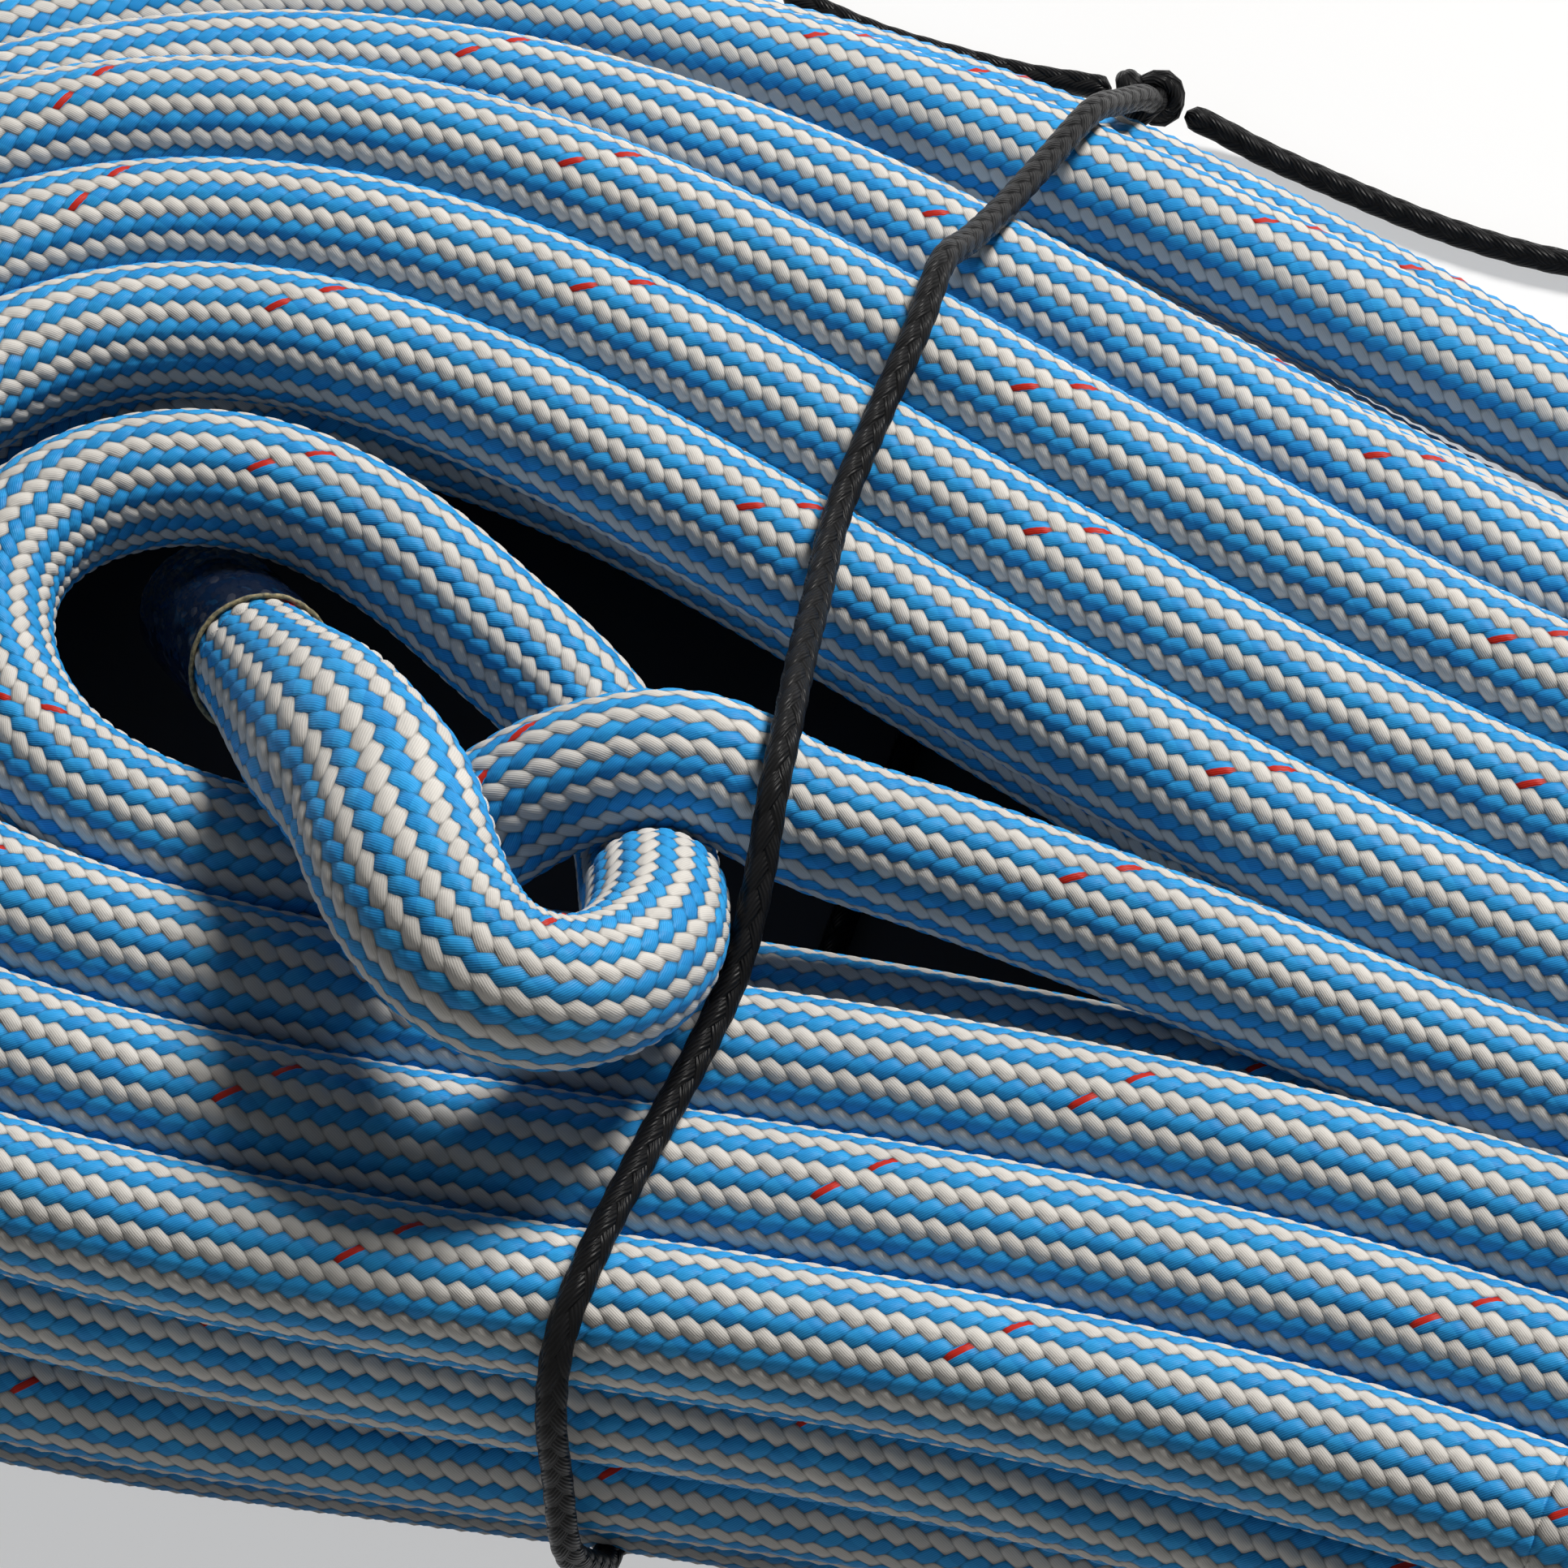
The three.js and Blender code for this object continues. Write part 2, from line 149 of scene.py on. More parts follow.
TIE_ROUTE = in_metres([
    (-868, 1067, 64), (-866, 1044, 90), (-864, 972, 152), (-860, 904, 209), (-854, 780, 266),
    (-848, 666, 320), (-842, 585, 368), (-835, 515, 416), (-822, 440, 425), (-813, 335, 423),
    (-801, 236, 425), (-772, 132, 452), (-748, 51, 484), (-726, -20, 506), (-709, -85, 504),
    (-696, -140, 470), (-689, -195, 436), (-688, -250, 423), (-686, -362, 423), (-682, -444, 427),
    (-679, -506, 408), (-677, -530, 350), (-676, -528, 250), (-676, -518, 140), (-678, -476, 55),
    (-680, -458, 27), (-684, -430, 15), (-700, -300, 14.5), (-740, 0, 14.5), (-800, 450, 14.5),
    (-860, 900, 14.5), (-875, 1010, 15), (-880, 1036, 19), (-880, 1056, 28),
])
TIE_SHORT_END = in_metres([
    (-916, 1095, 30), (-940, 1097, 24), (-990, 1096, 14), (-1060, 1090, 13), (-1140, 1088, 13),
    (-1240, 1102, 13),
])
TIE_LONG_END = in_metres([
    (-844, 1095, 30), (-820, 1097, 24), (-770, 1094, 14), (-690, 1084, 13), (-600, 1075, 13),
    (-510, 1077, 13), (-420, 1092, 13),
])

# From the coil's frame to the part's: the knot's place is known in both.
KNOT_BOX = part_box("tie_knot")
SHIFT = (np.array(KNOT_BOX[0]) + np.array(KNOT_BOX[1])) / 2 - np.array(KNOT_CENTRE)
SHIFT[2] = 0.0

# ---- Lines ----

UPRIGHT = np.array([0.0, 0.0, 1.0])

# Spacing of a line's points and of the cords' paths, and how far the line is evened out.
LINE_STEP = 0.0004
LINE_SOFTNESS = 0.0016
COIL_SAMPLES = 1400

# The photograph's camera
CAMERA_TARGET = (-0.07205, -0.02323, 0.036)
CAMERA_AZIMUTH = 24.3
CAMERA_ELEVATION = 52.0
CAMERA_DISTANCE = 0.48
SENSOR_WIDTH = 36.0
CAMERA_LENS = 147.7
VIEW_MARGIN = 1.05
CLIP = (0.01, 20.0)

# Lamps: place from the camera's target, size, power and tint.
KEY_LAMP = ((0.28, 0.85, 1.05), 0.4, 23.0, (1.0, 0.98, 0.95))
FILL_LAMP = ((-0.6, -1.1, 0.9), 1.0, 0.35, (0.9, 0.95, 1.0))

# The world: tint and strength of its light on the pieces, and of what shows behind them.
SOFT_LIGHT = ((0.85, 0.93, 1.0, 1.0), 0.04)
BACKDROP = ((1.0, 1.0, 1.0, 1.0), 1.0)

# Floor: size and place, half sizes of the painted shade where the coil closes in, how far that
# painted shade reaches, and where the open floor starts to fade to white.
FLOOR_SIZE = 3.0
FLOOR_DROP = 0.0002
PAINTED_SHADE_FLOOR = (0.18, 0.056)
PAINTED_SHADE_POWER = 6.0
PAINTED_SHADE_EDGE = (0.7, 1.0)
FLOOR_FADE = (0.4, 0.9)
FLOOR_GLOW = (0.5, 1.0)

# Carriers of each braid, and how much of the rope's relief the tie has.
ROPE_CARRIERS = 48
TIE_CARRIERS = 8
TIE_RELIEF = 0.55

# The red yarn: on one blue strand in so many, on two floats in so many, beside its middle.
TRACER_EVERY = 24
TRACER_FLOATS = 6
TRACER_PLACE = -0.26
TRACER_HALF_WIDTH = 0.24

# How fast the coil's press sets in, how far it flattens the cord, and how the slack tail's sheath
# opens, closes and changes its floats: where, from the tail's start or from the cut end, and over
# what length.
PRESS_LENGTH = 0.03
PRESS_FLATTENS = 0.3
TAIL_OPENS = (0.0, 0.028)
TAIL_CLOSES = (-0.02, 0.022)
TAIL_THICKER = 0.04
TAIL_LEANS = -0.01
FLOATS_LENGTHEN = (0.014, 0.02)
TURN_SHORTENS = (-0.006, 0.01)
TURN_ENDS = (0.026, 0.012)
TURN_FLOATS = 0.2

# Sides of a woven tube for each detail, the rows between the rings of a hidden one, how near its
# ends the next rings may come, and the least share of the radius at a rounded end.
TUBE_SIDES = {"hidden": 24, "plain": 48, "fine": 96, "finest": 96}
TIE_SIDES = 32
HIDDEN_ROWS = 4.0
END_ROWS = 0.2
ROUND_TIP = 0.02

# How far the rope keeps from the floor, from the tie and from the middle of its knot, and how many
# points are moved clear at once.
FLOOR_CLEARANCE = 0.0001
TIE_CLEARANCE = 0.00005
KNOT_CLEARANCE = 0.0036
CLEAR_AT_ONCE = 4000


def ease(value, start, length):
    """0 up to the start, 1 from the length on, and smooth between."""
    share = np.clip((value - start) / length, 0, 1)
    return share * share * (3 - 2 * share)


def outset(layer, column, angle):
    """How far a column of a layer lies outside the waist line."""
    _, near_inset, far_inset, far_pitch = LAYERS[layer]
    sin = np.sin(angle)
    far = 0.5 + 0.5 * sin * (1.5 - 0.5 * sin * sin)
    near_out = near_inset + NEAR_PITCH * column
    return near_out * (1 - far) + (far_inset + far_pitch * column) * far


def coil_points(layer, turns):
    """The coil's centreline after some turns of a layer, as the source works it out."""
    loops = LAYERS[layer][0]
    angle = math.pi / 2 + 2 * math.pi * turns
    winds_out = layer % 2 == 0
    climb = turns - (loops - 0.5)
    height = np.full_like(turns, CORD_DIAMETER / 2 - FLOOR_CUT + LAYER_RISE * layer)
    out = outset(layer, turns if winds_out else loops - 0.5 - turns, angle)
    if layer < len(LAYERS) - 1:
        drift = climb * (1 - ease(climb, *CLIMB_DRIFT))
        above = LAYERS[layer + 1][0]
        before = outset(layer, loops - 0.5 + drift if winds_out else -drift, angle)
        after = outset(layer + 1, above - 0.5 + drift if winds_out else -drift, angle)
        aside = ease(climb, *CLIMB_ASIDE[winds_out])
        out = np.where(climb > 0, before + (after - before) * aside, out)
        up = ease(climb, *CLIMB_UP[winds_out])
        height = height + np.where(climb > 0, LAYER_RISE * up, 0)
    cos = np.cos(angle)
    sin = np.sin(angle)
    reach = np.where(cos < 0, LEFT_REACH, RIGHT_REACH)
    swell = np.where(cos < 0, LEFT_SWELL, RIGHT_SWELL)
    width = WAIST + swell * cos * cos
    along_x = -reach * sin
    along_y = cos * width - 2 * swell * cos * sin * sin
    length = np.hypot(along_x, along_y)
    x = reach * cos + along_y / length * out
    y = sin * width - along_x / length * out
    return np.column_stack([x, y, height])


def through(points, per_span=24):
    """A smooth curve through the points of a route."""
    p = np.array(points, float)
    p = np.vstack([2 * p[0] - p[1], p, 2 * p[-1] - p[-2]])
    curve = []
    for i in range(1, len(p) - 2):
        p0, p1, p2, p3 = p[i - 1 : i + 3]
        t1 = np.linalg.norm(p1 - p0) ** 0.5
        t2 = t1 + np.linalg.norm(p2 - p1) ** 0.5
        t3 = t2 + np.linalg.norm(p3 - p2) ** 0.5
        for t in np.linspace(t1, t2, per_span, endpoint=False):
            a1 = (t1 - t) / t1 * p0 + t / t1 * p1
            a2 = (t2 - t) / (t2 - t1) * p1 + (t - t1) / (t2 - t1) * p2
            a3 = (t3 - t) / (t3 - t2) * p2 + (t - t2) / (t3 - t2) * p3
            b1 = (t2 - t) / t2 * a1 + t / t2 * a2
            b2 = (t3 - t) / (t3 - t1) * a2 + (t - t1) / (t3 - t1) * a3
            curve.append((t2 - t) / (t2 - t1) * b1 + (t - t1) / (t2 - t1) * b2)
    curve.append(p[-2])
    return np.array(curve)


def run_of(points):
    steps = np.linalg.norm(np.diff(points, axis=0), axis=1)
    return np.concatenate([[0], np.cumsum(steps)])


def unit(vectors):
    return vectors / np.maximum(np.linalg.norm(vectors, axis=-1, keepdims=True), 1e-12)


def soften(points, spread):
    """Takes the small kinks out of an evenly stepped line, ends kept."""
    half = int(round(3 * spread / LINE_STEP))
    weights = np.exp(-0.5 * (np.arange(-half, half + 1) * LINE_STEP / spread) ** 2)
    weights /= weights.sum()
    head = 2 * points[0] - points[half:0:-1]
    tail = 2 * points[-1] - points[-2 : -half - 2 : -1]
    padded = np.vstack([head, points, tail])
    return np.column_stack([np.convolve(padded[:, k], weights, "valid") for k in range(3)])


def make_line(points, diameter, carriers, row, spread=LINE_SOFTNESS):
    """An evenly stepped centreline with its own upright frame, weave rows and section sizes."""
    run = run_of(points)
    even = np.arange(0, run[-1], LINE_STEP)
    point = np.column_stack([np.interp(even, run, points[:, k]) for k in range(3)])
    point = soften(point, spread)
    along = unit(np.gradient(point, axis=0))
    over = np.zeros_like(point)
    start = UPRIGHT
    if abs(along[0][2]) > 0.9:
        start = np.array([1.0, 0.0, 0.0])
    for i, direction in enumerate(along):
        start = start - direction * start.dot(direction)
        start /= math.sqrt(start.dot(start))
        over[i] = start
    count = len(point)
    return {
        "point": point,
        "along": along,
        "over": over,
        "run": run_of(point),
        "row": run_of(point) / row,
        "radius": np.full(count, diameter / 2),
        "wide": np.ones(count),
        "thin": np.ones(count),
        "press": np.tile(UPRIGHT, (count, 1)),
        "carriers": carriers,
        "scale": 1.0 if carriers == ROPE_CARRIERS else TIE_RELIEF,
    }


def at(line, key, runs):
    values = line[key]
    if values.ndim == 1:
        return np.interp(runs, line["run"], values)
    return np.column_stack([np.interp(runs, line["run"], values[:, k]) for k in range(3)])


def camera_axes():
    a = math.radians(CAMERA_AZIMUTH)
    e = math.radians(CAMERA_ELEVATION)
    right = np.array([math.cos(a), math.sin(a), 0.0])
    back = np.array([math.sin(a) * math.cos(e), -math.cos(a) * math.cos(e), math.sin(e)])
    return right, np.cross(back, right), back


def in_view(points):
    """Which points the photograph's camera takes in."""
    right, up, back = camera_axes()
    offset = points - (np.array(CAMERA_TARGET) + back * CAMERA_DISTANCE)
    depth = -(offset @ back)
    half = SENSOR_WIDTH / 2 / CAMERA_LENS * VIEW_MARGIN
    return (np.abs(offset @ right) < half * depth) & (np.abs(offset @ up) < half * depth)


# ---- The rope's own line, from the bottom cut end to the top one ----


def build_rope_line(sizes):
    marks = {}
    coil = []
    total = 0
    for layer, (loops, *_) in enumerate(LAYERS):
        turns = np.arange(loops * COIL_SAMPLES) / COIL_SAMPLES
        coil.append(coil_points(layer, turns))
        for half in range(loops * 2):
            marks[(layer, half)] = total + half * COIL_SAMPLES // 2
        total += len(turns)
    top = len(LAYERS) - 1
    coil.append(coil_points(top, np.array([float(LAYERS[top][0])])))
    coil = np.vstack(coil)
    straight = np.array([CORD_DIAMETER, 0.0, 0.0])
    out = np.array([FACE_GAP + CORD_DIAMETER / 2, 0.0, 0.0])
    start_end = coil[0] + straight
    lead_end = coil[-1] - straight
    start_route = [start_end + out * 0.06, start_end + out, *START_ROUTE]
    lead_route = [lead_end - out * 0.06, lead_end - out, *LEAD_ROUTE]
    start = through(start_route)[::-1]
    lead = through(lead_route)
    start_tip = start[0] + unit(start[0] - START_ROUTE[-2]) * END_LENGTH
    lead_tip = lead[-1] + unit(lead[-1] - LEAD_ROUTE[-2]) * END_LENGTH
    points = np.vstack([start_tip, start, coil, lead, lead_tip]) + SHIFT
    run = run_of(points)
    line = make_line(points, CORD_DIAMETER, ROPE_CARRIERS, sizes.weave_row)
    stretch = line["run"][-1] / run[-1]
    first = 1 + len(start)
    line["marks"] = {key: run[first + index] * stretch for key, index in marks.items()}
    line["coil_top"] = run[first + len(coil) - 1] * stretch
    line["coil_bottom"] = run[first] * stretch
    line["start_end"] = run[1] * stretch
    line["lead_end"] = run[-2] * stretch
    shape_sections(line, sizes)
    return line


def shape_sections(line, sizes):
    """Flattens the cord where it is pressed in the coil, and opens the slack sheath of the tail."""
    run = line["run"]
    line["radius"] = np.full(len(run), sizes.rope_radius)
    blend = ease(run, line["coil_bottom"], PRESS_LENGTH)
    blend = blend * ease(line["coil_top"] - run, 0.0, PRESS_LENGTH)
    tail = line["lead_end"] - sizes.tail_length
    past = run - tail
    opened = ease(past, *TAIL_OPENS) * (1 - ease(run - line["lead_end"], *TAIL_CLOSES))
    wider = sizes.side_press - 1
    line["wide"] = 1 + wider * blend + (sizes.tail_width - 1) * opened
    line["thin"] = 1 - wider * PRESS_FLATTENS * blend + TAIL_THICKER * opened
    on_tail = (run > tail + TAIL_LEANS)[:, None]
    press = np.where(on_tail, camera_axes()[2], UPRIGHT)
    along = line["along"]
    line["press"] = unit(press - along * np.sum(press * along, axis=1, keepdims=True))
    longer = 1 + (sizes.tail_float - 1) * ease(past, *FLOATS_LENGTHEN)
    turn_end, length = TURN_ENDS
    turning = TURN_FLOATS * ease(past, *TURN_SHORTENS)
    longer = longer - turning * ease(tail + turn_end - run, 0.0, length)
    line["row"] = np.cumsum(np.gradient(run) / (sizes.weave_row * longer))


# ---- The woven tube ----

# A float's crest over the strand's middle, how the strand falls away to its sides, and where the
# floats of the white and the blue strands lie along them.
WEAVE_RISE = 0.00026
WEAVE_FALL = 0.00025
WEAVE_EDGE = 0.0013
WHITE_PHASE = 0.5
BLUE_PHASE = 2.5


def strand_height(turn, apart):
    """Height of a strand at a turn of its over-and-under wave, some way off its middle."""
    wave = np.cos(turn)
    square = apart * apart
    fall = square * (WEAVE_FALL + WEAVE_EDGE * square)
    return WEAVE_RISE * wave * (1.5 - 0.5 * wave * wave) - fall


def weave_height(column, row):
    """Height of a two-over-two braid: the upper one of the strands that cross at each point."""
    p = (column - row) / 2
    q = (column + row) / 2
    p0 = np.floor(p)
    q0 = np.floor(q)
    height = np.full(np.broadcast(column, row).shape, -1.0)
    for k in (0, 1):
        i = p0 + k
        j = q0 + k
        one = strand_height(math.pi / 2 * (i + q - WHITE_PHASE), p - i)
        other = strand_height(math.pi / 2 * (p + j - BLUE_PHASE), q - j)
        height = np.maximum(height, np.maximum(one, other))
    return height


def weave_rows(line, first, last, detail):
    """The rows that get a ring: half rows too on the finest pieces, and on fine ones in view."""
    step = HIDDEN_ROWS if detail == "hidden" else 1.0
    rows = np.arange(math.ceil(first - 0.5) + 0.5, last, step)
    if detail in ("fine", "finest"):
        between = rows[:-1] + 0.5
        if detail == "fine":
            places = at(line, "point", np.interp(between, line["row"], line["run"]))
            between = between[in_view(places)]
        rows = np.sort(np.concatenate([rows, between]))
    rows = rows[(rows > first + END_ROWS) & (rows < last - END_ROWS)]
    return np.concatenate([[first], rows, [last]])


def ring_points(line, runs, rows, sides, offset, swell, woven):
    """The rings of a woven tube at these places along the line."""
    point = at(line, "point", runs)[:, None, :]
    along = unit(at(line, "along", runs))
    over = at(line, "over", runs)
    over = unit(over - along * np.sum(over * along, axis=1, keepdims=True))
    across = np.cross(along, over)
    angle = 2 * math.pi * (np.arange(sides) + offset) / sides
    column = (np.arange(sides) + offset) * line["carriers"] / sides
    cos = np.cos(angle)[None, :, None]
    sin = np.sin(angle)[None, :, None]
    direction = over[:, None, :] * cos + across[:, None, :] * sin
    press = unit(at(line, "press", runs))[:, None, :]
    wide = at(line, "wide", runs)[:, None, None]
    thin = at(line, "thin", runs)[:, None, None]
    leaning = np.sum(direction * press, axis=2, keepdims=True)
    shaped = direction * wide + press * leaning * (thin - wide)
    radius = at(line, "radius", runs)[:, None] + swell
    if woven:
        radius = radius + weave_height(column[None, :], rows[:, None]) * line["scale"]
    return point + shaped * radius[:, :, None]


def keep_clear(vertices, threads):
    """Presses the surface in where a thread lies on it, and keeps it above the floor."""
    for thread, clearance in threads:
        low = thread.min(axis=0) - clearance
        high = thread.max(axis=0) + clearance
        near = np.all((vertices > low) & (vertices < high), axis=1).nonzero()[0]
        for chunk in np.array_split(near, max(1, len(near) // CLEAR_AT_ONCE)):
            if not len(chunk):
                continue
            apart = np.linalg.norm(vertices[chunk, None, :] - thread[None, :, :], axis=2)
            nearest = apart.argmin(axis=1)
            least = apart[np.arange(len(chunk)), nearest]
            inside = least < clearance
            hit = chunk[inside]
            away = unit(vertices[hit] - thread[nearest[inside]])
            vertices[hit] = thread[nearest[inside]] + away * clearance
    vertices[:, 2] = np.maximum(vertices[:, 2], FLOOR_CLEARANCE)
    return vertices


def tube_mesh(name, rings, columns, rows, joined=False):
    """A closed mesh from rings, with the weave's columns and rows as its UV map."""
    count, sides, _ = rings.shape
    a = np.arange(count * sides).reshape(count, sides)
    if joined:
        a = np.vstack([a, a[:1]])
        rows = np.append(rows, rows[-1])
    b = np.roll(a, -1, axis=1)
    quads = np.stack([a[:-1], b[:-1], b[1:], a[1:]], axis=2).reshape(-1, 4)
    step = columns[1] - columns[0]
    u = np.broadcast_to(columns, (len(a), sides))
    v = np.broadcast_to(rows[:, None], (len(a), sides))
    corners_u = np.stack([u[:-1], u[:-1] + step, u[1:] + step, u[1:]], axis=2)
    corners_v = np.stack([v[:-1], v[:-1], v[1:], v[1:]], axis=2)
    uv = np.stack([corners_u, corners_v], axis=3).reshape(-1, 2)
    loops = quads.ravel()
    starts = np.arange(len(quads)) * 4
    if not joined:
        caps = np.concatenate([a[0][::-1], a[-1]])
        starts = np.append(starts, [len(loops), len(loops) + sides])
        loops = np.concatenate([loops, caps])
        end_rows = np.repeat([rows[0], rows[-1]], sides)
        uv = np.vstack([uv, np.column_stack([np.tile(columns, 2), end_rows])])
    mesh = bpy.data.meshes.new(name)
    mesh.vertices.add(count * sides)
    mesh.vertices.foreach_set("co", rings.reshape(-1).astype(np.float32))
    mesh.loops.add(len(loops))
    mesh.loops.foreach_set("vertex_index", loops.astype(np.int32))
    mesh.polygons.add(len(starts))
    mesh.polygons.foreach_set("loop_start", starts.astype(np.int32))
    smooth_faces = np.arange(len(starts)) < len(quads)
    mesh.update(calc_edges=True)
    mesh.polygons.foreach_set("use_smooth", smooth_faces)
    layer = mesh.uv_layers.new(name="weave")
    layer.data.foreach_set("uv", uv.reshape(-1).astype(np.float32))
    mesh.validate()
    return mesh


def linked(name, mesh, material):
    """A mesh in its material, as an object in the scene."""
    mesh.materials.append(material)
    piece = bpy.data.objects.new(name, mesh)
    bpy.context.scene.collection.objects.link(piece)
    return piece


def woven_tube(name, line, start, stop, detail, material, threads=(), wall=0.0, round_ends=False):
    """One stretch of a line as a woven tube. A wall makes it hollow."""
    sides = TIE_SIDES if line["carriers"] == TIE_CARRIERS else TUBE_SIDES[detail]
    offset = 0.5 if sides == line["carriers"] else 0.0
    first, last = np.interp([start, stop], line["run"], line["row"])
    rows = weave_rows(line, first, last, detail)
    runs = np.interp(rows, line["row"], line["run"])
    swell = np.zeros((len(rows), 1))
    if round_ends:
        radius = at(line, "radius", runs)
        for distance in (runs - start, stop - runs):
            share = np.clip(distance / radius, ROUND_TIP, 1)
            swell[:, 0] += radius * (np.sqrt(1 - (1 - share) ** 2) - 1)
    rings = ring_points(line, runs, rows, sides, offset, swell, detail != "hidden")
    columns = (np.arange(sides) + offset) * line["carriers"] / sides
    repeat = 2 * line["carriers"]
    rows = rows - repeat * math.floor(rows[0] / repeat)
    if wall:
        inner = ring_points(line, runs, rows, sides, offset, -wall, False)
        rings = np.concatenate([rings, inner[::-1]])
        rows = np.concatenate([rows, rows[::-1]])
    shape = rings.shape
    rings = keep_clear(rings.reshape(-1, 3), threads).reshape(shape)
    return linked(name, tube_mesh(name, rings, columns, rows, joined=bool(wall)), material)


# ---- Materials ----


class Shade:
    """Adds nodes to a material or a world and joins them up."""

    def __init__(self, block):
        self.block = block
        block.use_nodes = True
        self.tree = block.node_tree
        self.tree.nodes.clear()

    def add(self, kind, **settings):
        node = self.tree.nodes.new(kind)
        for key, value in settings.items():
            setattr(node, key, value)
        return node

    def put(self, socket, value):
        if isinstance(value, bpy.types.NodeSocket):
            self.tree.links.new(value, socket)
        else:
            socket.default_value = value

    def fed(self, kind, *values, **settings):
        """A new node with its first inputs filled. Returns its first output."""
        node = self.add(kind, **settings)
        for socket, value in zip(node.inputs, values):
            self.put(socket, value)
        return node.outputs[0]

    def math(self, operation, *values, clamp=False):
        return self.fed("ShaderNodeMath", *values, operation=operation, use_clamp=clamp)

    def mix(self, share, first, second, blend="MIX"):
        node = self.add("ShaderNodeMix", data_type="RGBA", blend_type=blend)
        self.put(node.inputs["Factor"], share)
        self.put(node.inputs[6], first)
        self.put(node.inputs[7], second)
        return node.outputs[2]

    def darken(self, tint, share):
        grey = self.fed("ShaderNodeCombineColor", share, share, share)
        return self.mix(1.0, tint, grey, "MULTIPLY")

    def spread(self, value, low, high, to_low, to_high):
        return self.fed("ShaderNodeMapRange", value, low, high, to_low, to_high)

    def place(self):
        return self.add("ShaderNodeTexCoord").outputs["Object"]

    def split(self, vector):
        node = self.add("ShaderNodeSeparateXYZ")
        self.put(node.inputs[0], vector)
        return node.outputs[0], node.outputs[1]

    def column_and_row(self):
        return self.split(self.fed("ShaderNodeUVMap", uv_map="weave"))

    def noise(self, scale, detail=3.0):
        node = self.add("ShaderNodeTexNoise")
        node.inputs["Scale"].default_value = scale
        node.inputs["Detail"].default_value = detail
        self.put(node.inputs["Vector"], self.place())
        return node.outputs["Fac"]

    def bump(self, height, distance, strength=1.0):
        node = self.add("ShaderNodeBump")
        node.inputs["Distance"].default_value = distance
        node.inputs["Strength"].default_value = strength
        self.put(node.inputs["Height"], height)
        return node.outputs["Normal"]

    def backdrop_rays(self):
        """1 for rays to the camera, by themselves, in a gloss or through something clear."""
        rays = self.add("ShaderNodeLightPath")
        seen = rays.outputs["Is Camera Ray"]
        for other in ("Is Transmission Ray", "Is Glossy Ray"):
            seen = self.math("MAXIMUM", seen, rays.outputs[other])
        return seen

    def surface(self, **sockets):
        shader = self.add("ShaderNodeBsdfPrincipled")
        for key, value in sockets.items():
            self.put(shader.inputs[key.replace("_", " ")], value)
        return shader.outputs[0]

    def output(self, shader, kind="ShaderNodeOutputMaterial"):
        self.put(self.add(kind).inputs[0], shader)
        return self.block

    def finish(self, **sockets):
        return self.output(self.surface(**sockets))


# Look of the braids: how sharply one strand's colour ends at another, filaments to a strand, and
# the heights between which the painted shade in the gaps fades from dark to light.
MILLIMETRES = 1000
CROSSING_SHARPNESS = 30.0
SHEATH_FILAMENTS = 7
TIE_FILAMENTS = 5
SHEATH_GAP_SHADE = (-0.1, 0.16, 0.08, 1.0)
TIE_GAP_SHADE = (-0.12, 0.09, 0.2, 1.0)
LIP_DARK = (0.07, 0.065, 0.035)
FLOOR_SPECK = (0.8, 0.8, 0.8)


def colour(value):
    return (value[0], value[1], value[2], 1.0)


def weave_shade(shade):
    """The braid under each point: its height in millimetres, and the strand and place on top."""
    column, row = shade.column_and_row()
    p = shade.math("MULTIPLY", shade.math("SUBTRACT", column, row), 0.5)
    q = shade.math("MULTIPLY", shade.math("ADD", column, row), 0.5)

    def strands(side, other, phase):
        first = shade.math("FLOOR", side)
        second = shade.math("ADD", first, 1.0)
        heights = []
        for number in (first, second):
            turn = shade.math("ADD", shade.math("ADD", number, other), -phase)
            wave = shade.math("COSINE", shade.math("MULTIPLY", turn, math.pi / 2))
            square = shade.math("MULTIPLY", wave, wave)
            crest = shade.math("MULTIPLY", wave, shade.math("MULTIPLY_ADD", square, -0.5, 1.5))
            apart = shade.math("SUBTRACT", side, number)
            square = shade.math("MULTIPLY", apart, apart)
            steep = shade.math(
                "MULTIPLY_ADD", square, -WEAVE_EDGE * MILLIMETRES, -WEAVE_FALL * MILLIMETRES,
            )
            fall = shade.math("MULTIPLY", square, steep)
            heights.append(shade.math("MULTIPLY_ADD", crest, WEAVE_RISE * MILLIMETRES, fall))
        second_up = shade.math("GREATER_THAN", heights[1], heights[0])
        number = shade.math("ADD", first, second_up)
        height = shade.math("MAXIMUM", *heights)
        return height, number, shade.math("SUBTRACT", side, number)

    white, white_strand, _ = strands(p, q, WHITE_PHASE)
    blue, blue_strand, blue_place = strands(q, p, BLUE_PHASE)
    lead = shade.math("SUBTRACT", blue, white)
    on_top = shade.math("MULTIPLY_ADD", lead, CROSSING_SHARPNESS, 0.5, clamp=True)

    def upper(of_blue, of_white):
        below = shade.math("SUBTRACT", 1.0, on_top)
        of_blue = shade.math("MULTIPLY", on_top, of_blue)
        return shade.math("ADD", of_blue, shade.math("MULTIPLY", below, of_white))

    along_blue = shade.math("MULTIPLY_ADD", shade.math("ADD", p, blue_strand), 0.25, -0.125)
    return {
        "height": shade.math("MAXIMUM", blue, white),
        "blue": on_top,
        "strand": upper(blue_strand, white_strand),
        "side": upper(q, p),
        "other": upper(p, q),
        "blue_strand": blue_strand,
        "blue_place": blue_place,
        "blue_float": shade.math("FLOOR", along_blue),
    }


